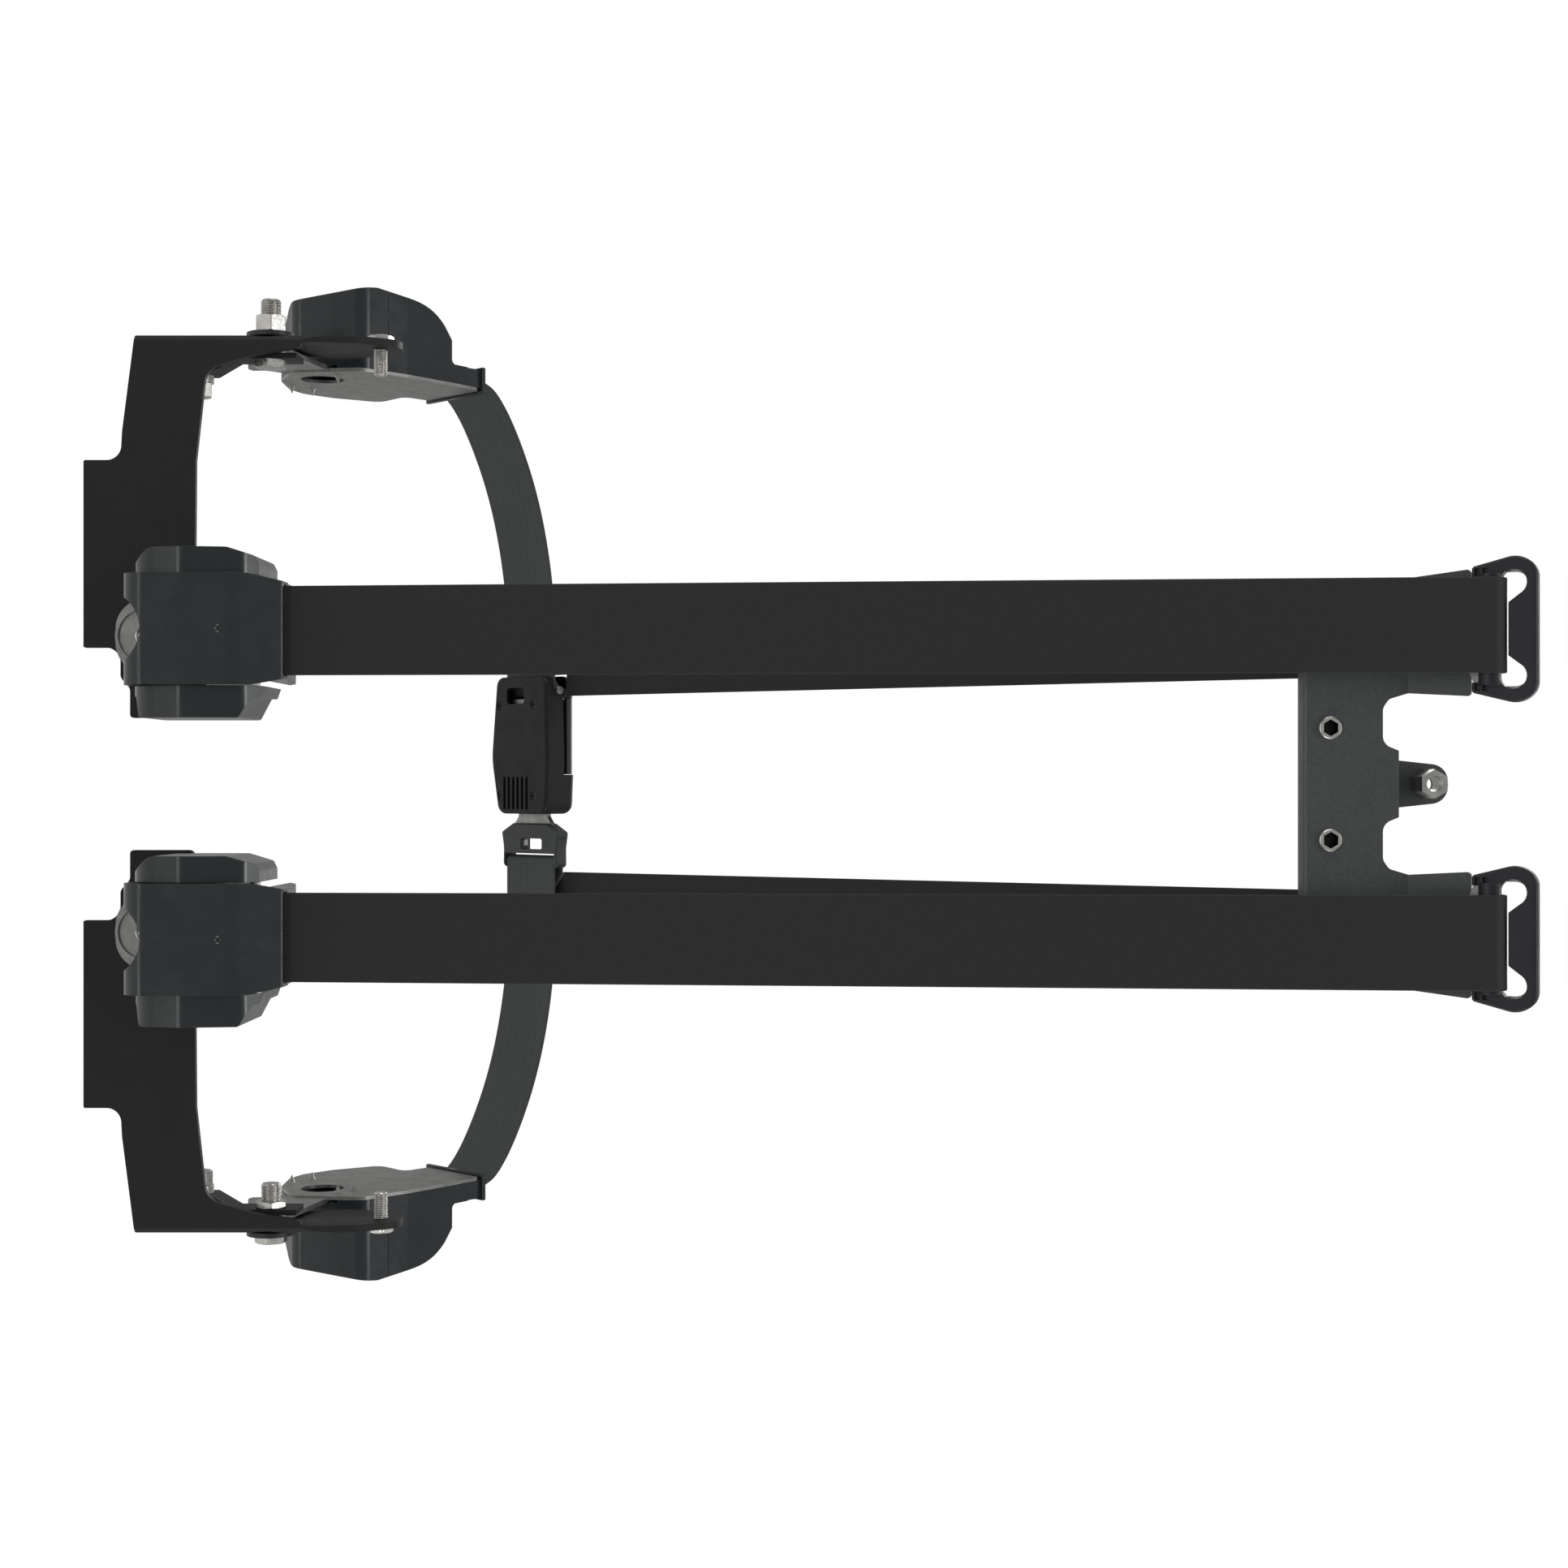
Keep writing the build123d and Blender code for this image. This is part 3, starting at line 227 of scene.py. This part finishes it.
def woven(name, tint):
    """Belt webbing: a herringbone of yarns, followed along the strip by its own coordinate."""
    paint = Paint(name, 0.62, specular=0.35)
    paint.shader.inputs["Sheen Weight"].default_value = 0.12
    paint.shader.inputs["Sheen Roughness"].default_value = 0.45
    strip = paint.node("Attribute", attribute_name="weave").outputs["Vector"]
    parts = paint.node("SeparateXYZ", {"Vector": strip})
    across, along = parts.outputs[0], parts.outputs[1]

    def wave(value, pitch, other=None):
        turn = paint.node("Math", {0: value, 1: 2 * pi / pitch}, operation="MULTIPLY").outputs[0]
        if other is not None:
            turn = paint.node("Math", {0: turn, 1: other}, operation="ADD").outputs[0]
        return paint.node("Math", {0: turn}, operation="SINE").outputs[0]

    slant = paint.node("Math", {0: along, 1: 2 * pi / WEFT}, operation="MULTIPLY").outputs[0]
    yarns = wave(across, WARP, slant)
    ribs = wave(across, 4 * WARP)
    fibres = paint.node("TexNoise", {"Vector": strip, "Scale": 1400.0, "Detail": 2.0}).outputs[0]
    paint.colour(paint.spread(yarns, 0.3, 0.7, -1, 1), shade(tint, 0.8), shade(tint, 1.18))
    paint.roughness(fibres, 0.56, 0.72)
    paint.relief((yarns, 0.035 * MM), (ribs, 0.03 * MM), (fibres, 0.02 * MM), bevel=0.2 * MM)
    return paint.material


# --- materials of the record's slots --------------------------------------------
BLUE_BLACK = (0.0145, 0.0185, 0.0205)
ZINC = (0.62, 0.61, 0.58)
MATERIALS = {
    "bracket_coat": coated("bracket_coat", (0.0085, 0.0085, 0.0083), 0.55, 1500, 0.05 * MM, 0.35),
    "upper_coat": coated("upper_coat", (0.058, 0.062, 0.063), 0.42, 2200, 0.01 * MM, 0.4),
    "retractor_plastic": moulded("retractor_plastic", BLUE_BLACK, 0.24, 1800, 0.006 * MM, 0.3, 0.42),
    "plain_steel": plated("plain_steel", (0.36, 0.36, 0.35), 0.42, (0.15, 1, 1)),
    "spool_metal": plated("spool_metal", (0.45, 0.45, 0.44), 0.5),
    "zinc": plated("zinc", ZINC, 0.3),
    "black_zinc": coated("black_zinc", (0.012, 0.012, 0.012), 0.4, 1800, 0.012 * MM),
    "spring_steel": plated("spring_steel", (0.35, 0.35, 0.36), 0.35),
    "loop_plastic": moulded("loop_plastic", (0.0105, 0.0110, 0.0150), 0.45, 1500, 0.08 * MM, 0.0, 0.38),
    "buckle_plastic": moulded("buckle_plastic", (0.0070, 0.0071, 0.0070), 0.5, 2200, 0.03 * MM, 0.0, 0.3),
    "button_plastic": moulded("button_plastic", (0.0190, 0.0190, 0.0175), 0.42, 2200, 0.02 * MM, 0.0, 0.45),
    "grip_plastic": moulded("grip_plastic", (0.0290, 0.0320, 0.0330), 0.46, 2000, 0.03 * MM),
    "shoulder_webbing": woven("shoulder_webbing", (0.0125, 0.0125, 0.0125)),
    # painted light: the lap webbing gets a tint about four times lighter than the shoulder webbing, standing in
    # for the brighter light on the lap strap's slanted face
    "lap_webbing": woven("lap_webbing", (0.0480, 0.0515, 0.0530)),
}

for part in frame["record"]["subparts"]:
    node = frame["nodes"][part["node"]]
    node.data.materials.clear()
    node.data.materials.append(MATERIALS[part["material_slot"]])
# zinc of the socket screws, with painted shade in their hex recesses
frame["nodes"]["socket_screws"].material_slots[0].material = socketed("socket_zinc_painted_shade", ZINC, 0.3)


# --- mesh helpers -------------------------------------------------------------
def piece(name, verts, faces, slot, body="root", sharp=35):
    """Closed mesh with outward faces, the slot's material, and smooth shading below an angle."""
    mesh = bpy.data.meshes.new(name)
    mesh.from_pydata([tuple(v) for v in verts], [], faces)
    shape = bmesh.new()
    shape.from_mesh(mesh)
    bmesh.ops.recalc_face_normals(shape, faces=shape.faces)
    for face in shape.faces:
        face.smooth = True
    for edge in shape.edges:
        edge.smooth = len(edge.link_faces) == 2 and edge.calc_face_angle(0) < radians(sharp)
    shape.to_mesh(mesh)
    shape.free()
    mesh.materials.append(MATERIALS[slot])
    made = bpy.data.objects.new(name, mesh)
    bpy.context.scene.collection.objects.link(made)
    if body:
        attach(made, body)
    return made


def rings(loops, close_ends=True):
    """Vertices and faces of a tube through rings of equal length, with fans at both ends."""
    count = len(loops[0])
    verts = [point for loop in loops for point in loop]
    faces = []
    for i in range(len(loops) - 1):
        for j in range(count):
            k = (j + 1) % count
            faces.append((i * count + j, i * count + k, (i + 1) * count + k, (i + 1) * count + j))
    if close_ends:
        for first in (0, (len(loops) - 1) * count):
            middle = sum((Vector(verts[first + j]) for j in range(count)), Vector()) / count
            verts.append(middle)
            faces += [(first + j, first + (j + 1) % count, len(verts) - 1) for j in range(count)]
    return verts, faces


def joined(*solids):
    verts, faces = [], []
    for more_verts, more_faces in solids:
        shift = len(verts)
        verts += list(more_verts)
        faces += [tuple(i + shift for i in face) for face in more_faces]
    return verts, faces


# --- webbing ------------------------------------------------------------------
SELVEDGE = 0.9 * MM           # width of the round edge
FULLER_BAND = 3.2 * MM        # width of the thicker band along each edge
STEP = 7 * MM                 # longest step along a shoulder strap


def half_thickness(t):
    """Half the webbing's thickness at t from its middle: round edges, a fuller selvedge."""
    over = max(0.0, abs(t) - (HALF - SELVEDGE))
    if over >= SELVEDGE:
        return 0.0
    round_edge = sqrt(1 - (over / SELVEDGE) ** 2)
    fuller = 0.05 * MM if abs(t) > HALF - FULLER_BAND else 0.0
    return (THICK / 2 + fuller + 0.02 * MM * cos(2 * pi * t / (4 * WARP))) * round_edge


def even_columns():
    """Positions across the webbing, closer together at its round edges."""
    edge = [HALF, HALF - 0.12 * MM, HALF - 0.4 * MM, HALF - SELVEDGE]
    inner = [(HALF - SELVEDGE) * (1 - i / 14) for i in range(1, 28)]
    return sorted(edge + inner + [-value for value in edge])


def webbing(name, grid, columns, slot):
    """Solid strip round a grid of middle points: one row for each step, one column across."""
    last = len(grid) - 1
    width = len(columns)
    top, bottom, coords = [], [], []
    travelled = 0.0
    for i, row in enumerate(grid):
        before, after = grid[max(i - 1, 0)], grid[min(i + 1, last)]
        middle = width // 2
        if i:
            travelled += (row[middle] - grid[i - 1][middle]).length
        for j, point in enumerate(row):
            along = after[j] - before[j]
            across = row[min(j + 1, width - 1)] - row[max(j - 1, 0)]
            normal = along.cross(across).normalized()
            half = half_thickness(columns[j])
            top.append(point + normal * half)
            bottom.append(point - normal * half)
            coords.append((columns[j], travelled, 0.0))
    count = len(top)
    verts = top + bottom
    faces = []
    for i in range(last):
        for j in range(width - 1):
            a, b, c, d = (i * width + j, i * width + j + 1, (i + 1) * width + j + 1,
                          (i + 1) * width + j)
            faces += [(a, b, c, d), (d + count, c + count, b + count, a + count)]
    for first in (0, last * width):
        for j in range(width - 1):
            faces.append((first + j, first + j + 1, first + j + 1 + count, first + j + count))
    strip = piece(name, verts, faces, slot, body=None, sharp=50)
    values = strip.data.attributes.new("weave", "FLOAT_VECTOR", "POINT")
    flattened = [number for place in coords + coords for number in place]
    values.data.foreach_set("vector", flattened)
    weld(strip.data)
    return strip


def weld(mesh):
    """Merge the two skins where the round edges meet."""
    shape = bmesh.new()
    shape.from_mesh(mesh)
    bmesh.ops.remove_doubles(shape, verts=shape.verts, dist=1e-6)
    bmesh.ops.dissolve_degenerate(shape, edges=shape.edges, dist=1e-7)
    shape.to_mesh(mesh)
    shape.free()


def rounded(points, radius):
    """2-D path with its corners eased by short curves."""
    path = [points[0]]
    for before, here, after in zip(points, points[1:], points[2:]):
        into, out = here - before, after - here
        reach = min(radius, 0.4 * into.length, 0.4 * out.length)
        start, end = here - into.normalized() * reach, here + out.normalized() * reach
        for i in range(5):
            s = i / 4
            path.append((1 - s) ** 2 * start + 2 * s * (1 - s) * here + s * s * end)
    return path + [points[-1]]


def stepped(points, step):
    """The same path with no step longer than step."""
    path = [points[0]]
    for before, here in zip(points, points[1:]):
        count = max(1, int((here - before).length / step + 0.999))
        path += [before.lerp(here, i / count) for i in range(1, count + 1)]
    return path


def arc(middle, radius, start, end, steps):
    angles = [radians(start + (end - start) * i / steps) for i in range(steps + 1)]
    return [middle + radius * Vector((cos(a), sin(a))) for a in angles]


# Points of the lap strap from its retractor to the buckle, (x, height over the belt plane).
LAP_ARCH = [(241.6, -20), (241.2, 2), (240.0, 8), (236.2, 14), (229, 20.3), (219.8, 26.4),
            (205.7, 34), (188, 41.8), (168, 48.6), (146, 54), (123.3, 57.8), (100, 59.6)]


def curve_through(points, steps):
    """Catmull-Rom curve through 2-D points."""
    path = []
    ends = [points[0] * 2 - points[1]] + points + [points[-1] * 2 - points[-2]]
    for a, b, c, d in zip(ends, ends[1:], ends[2:], ends[3:]):
        for i in range(steps):
            s = i / steps
            path.append(0.5 * (2 * b + (c - a) * s + (2 * a - 5 * b + 4 * c - d) * s ** 2
                               + (3 * b - a - 3 * c + d) * s ** 3))
    return path + [points[-1]]


RUN_STEPS, FOLD_STEPS = 10, 8


def fold_place(t, pin_x):
    """Distance from the middle of the seat to the diagonal fold, at t across the strap."""
    return max(STRAP_X - t, pin_x + 0.2 * MM)


def lap_webbing(side, sign, pin_x):
    """Spool, mouth, arch across the lap, round the pin and out to the diagonal fold."""
    reel, _ = joint_place("lap_reel_" + side + "_turn")
    roll = size("lap_webbing_roll_" + side).x / 2
    start = Vector((abs(reel.x) - roll - 0.9 * MM, -53 * MM))
    arch = [start] + [Vector(p) * MM for p in LAP_ARCH]
    arch += [Vector((80 * MM, PIN_HEIGHT - LAYER)), Vector((pin_x, PIN_HEIGHT - LAYER))]
    path = curve_through(arch, 6)
    path += arc(Vector((pin_x, PIN_HEIGHT)), LAYER, -90, -270, 12)[1:]
    columns = even_columns()
    grid = [[belt(sign * p.x, t, p.y) for t in columns] for p in path]
    outward = Vector((1, 1)).normalized()
    for step in range(1, RUN_STEPS + 1):
        row = []
        for t in columns:
            x = pin_x + (fold_place(t, pin_x) - pin_x) * step / RUN_STEPS
            row.append(belt(sign * x, t, PIN_HEIGHT + LAYER))
        grid.append(row)
    for step in range(1, FOLD_STEPS + 1):
        turn = pi * step / FOLD_STEPS
        row = []
        for t in columns:
            fold_x = fold_place(t, pin_x)
            beyond = outward * FOLD_RADIUS * sin(turn)
            height = PIN_HEIGHT + LAYER + FOLD_RADIUS * (1 - cos(turn))
            row.append(belt(sign * (fold_x + beyond.x), t + beyond.y, height))
        grid.append(row)
    strip = webbing("lap_webbing_" + side, grid, columns, "lap_webbing")
    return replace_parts(strip, "lap_strap_" + side)


def shoulder_path(side):
    """Middle line of a shoulder strap, (x, y, z), from the fold to its spool, in three runs."""
    pivot, axis = joint_place("loop_" + side + "_swivel")
    up = Vector((0, -axis.z, axis.y))
    bar = pivot + BAR_TO_BOLT * up + BAR_OFFSET * axis
    reel, _ = joint_place("shoulder_reel_" + side + "_turn")
    roll = size("shoulder_webbing_roll_" + side).y / 2
    around = arc(Vector((bar.y, bar.z)), BAR_R + CLEAR + THICK / 2, *BAR_WRAP, 24)
    top = belt(0, BUCKLE_TOP, STRIP)
    bottom = belt(0, -HALF, STRIP)
    spool = arc(Vector((reel.y, reel.z)), roll + 0.3 * MM + THICK / 2, 10, 4, 1)
    front = rounded([Vector((bottom.y, bottom.z)), Vector((top.y, top.z)), around[0]], 16 * MM)
    rear = rounded([around[-1], OUTLET, spool[0], spool[1]], 5 * MM)
    return front, around, rear


def shoulder_rows(path, columns, middle_x):
    return [[Vector((middle_x(p) + t, p.x, p.y)) for t in columns] for p in path]


NOTCH_X = BUCKLE_END + 0.8 * MM    # the left strap is notched round the buckle's end wall


def shoulder_start(columns, sign, notched):
    """Rows from the diagonal fold, or from the buckle's end wall, up to the buckle's top."""
    grid = []
    finish = BUCKLE_TOP + 0.6 * MM
    for step in range(RUN_STEPS + 1):
        row = []
        for t in columns:
            x = STRAP_X + t
            begin = finish - 0.3 * MM if notched and x < NOTCH_X else -t
            y = begin + (finish - begin) * step / RUN_STEPS
            row.append(belt(sign * x, y, STRIP))
        grid.append(row)
    return grid


def rise_columns(notched):
    columns = even_columns()
    if notched:
        edge = NOTCH_X - STRAP_X
        columns = sorted([c for c in columns if abs(c - edge) > 0.3 * MM]
                         + [edge - 0.01 * MM, edge + 0.01 * MM])
    return columns


def shoulder_webbing(side, sign):
    """Diagonal fold, front strand, over the turning loop's bar, rear strand, spool."""
    columns = rise_columns(side == "left")
    front, around, rear = shoulder_path(side)
    top = belt(0, BUCKLE_TOP, STRIP)
    climb = stepped([p for p in front if p.y > top.z + 1 * MM], STEP)
    descent = stepped(rear, STEP)
    reel_x = abs(JOINTS["shoulder_reel_" + side + "_turn"]["pos_m"][0])

    def straight(p):
        return sign * STRAP_X

    def leaning(p):
        share = (around[-1].y - p.y) / (around[-1].y - OUTLET.y)
        return sign * (STRAP_X + (reel_x - STRAP_X) * min(1.0, max(0.0, share)))

    mirrored = [sign * c for c in columns]
    lower = shoulder_start(columns, sign, side == "left")
    rising = shoulder_rows(climb, mirrored, straight)
    over = shoulder_rows(around[1:], mirrored, straight)
    falling = shoulder_rows(descent[1:], mirrored, leaning)
    slot = "shoulder_webbing"
    if side == "left":
        grid = lower + rising + over + falling
        strip = webbing("shoulder_webbing_left", grid, columns, slot)
        strips = [strip]
    else:
        split = len(rising) // 2
        strip = webbing("shoulder_webbing_right_low", lower + rising[:split + 1], columns, slot)
        rest = webbing("shoulder_webbing_right", rising[split:] + over + falling, columns, slot)
        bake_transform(strip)
        strips = [rest, strip]
    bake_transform(strips[0])
    for strip in strips:
        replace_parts(strip, "shoulder_strap_" + side)


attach(lap_webbing("left", 1, BUCKLE_PIN.x), "root")
TONGUE_PIN_X = 48 * MM
lap_right = lap_webbing("right", -1, TONGUE_PIN_X)
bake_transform(lap_right)
for side, sign in (("left", 1), ("right", -1)):
    shoulder_webbing(side, sign)


# --- threaded fasteners -------------------------------------------------------
def threaded(radius, pitch, length, chamfer):
    """Threaded shank along +X from 0, with a chamfered end."""
    around, per_turn = 36, 10
    rows = int(length / pitch * per_turn)
    depth = 0.61 * pitch
    loops = []
    for i in range(rows + 1):
        x = length * i / rows
        loop = []
        for j in range(around):
            turn = x / pitch - j / around
            saw = abs((turn % 1.0) - 0.5) * 2
            flank = min(1.0, max(0.0, (saw - 0.08) / 0.84))
            r = radius - depth * flank
            r = min(r, radius - chamfer + (length - x))
            loop.append(Vector((x, r * cos(2 * pi * j / around), r * sin(2 * pi * j / around))))
        loops.append(loop)
    return rings(loops)


def hexagon(flats, x0, x1, chamfer_far=True, chamfer_near=False, turn=0.0, bore=0.0):
    """Hexagonal head or nut along X, with its corners cut by a 30 degree cone."""
    count = 72
    inner = flats / 2 * 0.97

    def ring(kind, x, inward):
        loop = []
        for j in range(count):
            angle = 2 * pi * j / count
            corner = (angle - turn) % (pi / 3) - pi / 6
            r = flats / 2 / cos(corner)
            if kind == "inner":
                r, drop = inner, 0.0
            elif kind == "bore":
                r, drop = bore, 0.0
            else:
                drop = max(0.0, r - inner) * tan(pi / 6) if inward else 0.0
            loop.append(Vector((x + inward * drop, r * cos(angle), r * sin(angle))))
        return loop

    loops = [ring("inner", x0, 0), ring("hex", x0, 1 if chamfer_near else 0),
             ring("hex", x1, -1 if chamfer_far else 0), ring("inner", x1, 0)]
    if not bore:
        return rings(loops)
    loops = [ring("bore", x0, 0)] + loops + [ring("bore", x1, 0)]
    verts, faces = rings(loops, close_ends=False)
    last = (len(loops) - 1) * count
    faces += [(j, last + j, last + (j + 1) % count, (j + 1) % count) for j in range(count)]
    return verts, faces


def placed(solid, at, facing=1):
    """Move a solid drawn along +X to a point, pointing along +X or -X."""
    verts, faces = solid
    return [Vector((at.x + facing * v.x, at.y + facing * v.y, at.z + v.z)) for v in verts], faces


EAR_LOW, EAR_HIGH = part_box("ear_bolts")
EAR_AXIS = centre("ear_nuts")
EAR_AXIS.x = 0
UNF = {"radius": 5.55 * MM, "pitch": 1.27 * MM, "chamfer": 1.0 * MM}
M8 = {"radius": 3.98 * MM, "pitch": 1.25 * MM, "chamfer": 0.8 * MM}
EAR_HEAD, EAR_FLATS = 4.4 * MM, 15.9 * MM
LEFT_HEAD = (228.6 * MM, 233.0 * MM)
RIGHT_TIP = -219.6 * MM
NUT_SPANS = ((248.2 * MM, 257.5 * MM), (-232.9 * MM, -229.0 * MM))
NUT_TURN, M8_TURN = radians(11), radians(17)
M8_FLATS = 13 * MM


def ear_bolt(tip, head_far, head_near):
    """Bolt with its head between head_far and head_near and its thread running on to tip."""
    facing = 1 if tip > head_near else -1
    head = hexagon(EAR_FLATS, 0, EAR_HEAD, chamfer_far=False, chamfer_near=True)
    at = Vector((head_far, EAR_AXIS.y, EAR_AXIS.z))
    shank = threaded(length=abs(tip - head_near), **UNF)
    base = Vector((head_near, EAR_AXIS.y, EAR_AXIS.z))
    return joined(placed(head, at, facing), placed(shank, base, facing))


ears = joined(ear_bolt(EAR_HIGH[0], *LEFT_HEAD),
              ear_bolt(RIGHT_TIP, EAR_LOW[0], EAR_LOW[0] + EAR_HEAD))
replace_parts(piece("ear_bolts_threaded", *ears, "zinc"), "ear_bolts")

NUT_BORE = UNF["radius"] + CLEAR / 2
nuts = []
for x0, x1 in NUT_SPANS:
    nut = hexagon(EAR_FLATS, 0, x1 - x0, True, True, turn=NUT_TURN, bore=NUT_BORE)
    nuts.append(placed(nut, Vector((x0, EAR_AXIS.y, EAR_AXIS.z))))
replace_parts(piece("ear_nuts_chamfered", *joined(*nuts), "zinc"), "ear_nuts")


def small_bolts(node, name, near, head_depth, outside):
    """A pair of M8 bolts, mirrored, from near outwards, with the head at either end."""
    _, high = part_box(node)
    axis = centre(node)
    far = high[0]
    head_at, tip = (far, near) if outside else (near, far)
    facing = -1 if outside else 1
    solids = []
    for sign in (1, -1):
        head = hexagon(M8_FLATS, 0, head_depth, chamfer_far=False, chamfer_near=True,
                       turn=M8_TURN)
        base = head_at + facing * head_depth
        shank = threaded(length=abs(tip - base), **M8)
        way = facing * sign
        solids.append(placed(head, Vector((sign * head_at, axis.y, axis.z)), way))
        solids.append(placed(shank, Vector((sign * base, axis.y, axis.z)), way))
    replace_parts(piece(name, *joined(*solids), "zinc"), node)


small_bolts("ear_tip_bolts", "ear_tip_bolts_threaded", 226.6 * MM, 3.6 * MM, outside=True)
small_bolts("strap_bolts", "strap_bolts_threaded", 213.0 * MM, 7.8 * MM, outside=False)


# --- camera, light and stage --------------------------------------------------
CAMERA_PLACE = (0, 1.285, 0.347)


def add_camera():
    data = bpy.data.cameras.new("camera")
    data.lens, data.sensor_width = 54, 36
    data.clip_start, data.clip_end = 0.05, 20
    camera = bpy.data.objects.new("camera", data)
    bpy.context.scene.collection.objects.link(camera)
    # seen from behind, with the picture's up along +X and its right along +Z
    turn = Matrix(((0, 1, 0), (0, 0, 1), (1, 0, 0)))
    camera.matrix_world = Matrix.Translation(CAMERA_PLACE) @ turn.to_4x4()
    bpy.context.scene.camera = camera


def add_light(name, place, width, height, power):
    data = bpy.data.lights.new(name, "AREA")
    data.shape, data.size, data.size_y, data.energy = "RECTANGLE", width, height, power
    light = bpy.data.objects.new(name, data)
    bpy.context.scene.collection.objects.link(light)
    light.location = place
    light.rotation_euler = (Vector(TARGET) - Vector(place)).to_track_quat("-Z", "Y").to_euler()


def add_world(light, backdrop):
    """Even studio light, with a plain white backdrop."""
    world = bpy.data.worlds.new("studio")
    world.use_nodes = True
    bpy.context.scene.world = world
    nodes, links = world.node_tree.nodes, world.node_tree.links
    seen, lit = nodes["Background"], nodes.new("ShaderNodeBackground")
    seen.inputs[0].default_value, seen.inputs[1].default_value = (1, 1, 1, 1), backdrop
    lit.inputs[0].default_value, lit.inputs[1].default_value = (1, 1, 1, 1), light
    mix, path = nodes.new("ShaderNodeMixShader"), nodes.new("ShaderNodeLightPath")
    links.new(path.outputs["Is Camera Ray"], mix.inputs[0])
    links.new(lit.outputs[0], mix.inputs[1])
    links.new(seen.outputs[0], mix.inputs[2])
    links.new(mix.outputs[0], nodes["World Output"].inputs[0])


def add_floor(radius, height):
    loop = [(radius * cos(2 * pi * i / 96), radius * sin(2 * pi * i / 96), height)
            for i in range(96)]
    mesh = bpy.data.meshes.new("floor")
    mesh.from_pydata(loop, [], [tuple(range(96))])
    paint = Paint("floor", 0.8, specular=0.2)
    paint.colour(paint.noise(6, 2.0), (0.80, 0.80, 0.79), (0.84, 0.84, 0.83))
    mesh.materials.append(paint.material)
    floor = bpy.data.objects.new("floor", mesh)
    bpy.context.scene.collection.objects.link(floor)


# name, place, width, height and power of each softbox; all face TARGET
TARGET = (0, 0, 0.34)
LIGHTS = [("key", (0.0, 1.1, -0.9), 1.2, 0.8, 9),
          ("rim_left", (1.5, 0.5, 0.5), 0.4, 1.4, 10),
          ("rim_right", (-1.5, 0.5, 0.5), 0.4, 1.4, 10),
          ("front", (0.3, -1.6, 1.2), 1.2, 1.0, 16),
          ("above", (0.0, 0.7, 1.9), 1.2, 0.35, 9)]
add_camera()
add_world(0.34, 1.0)
add_floor(0.6, -0.3)
for light in LIGHTS:
    add_light(*light)
bpy.context.scene.view_settings.view_transform = "Standard"
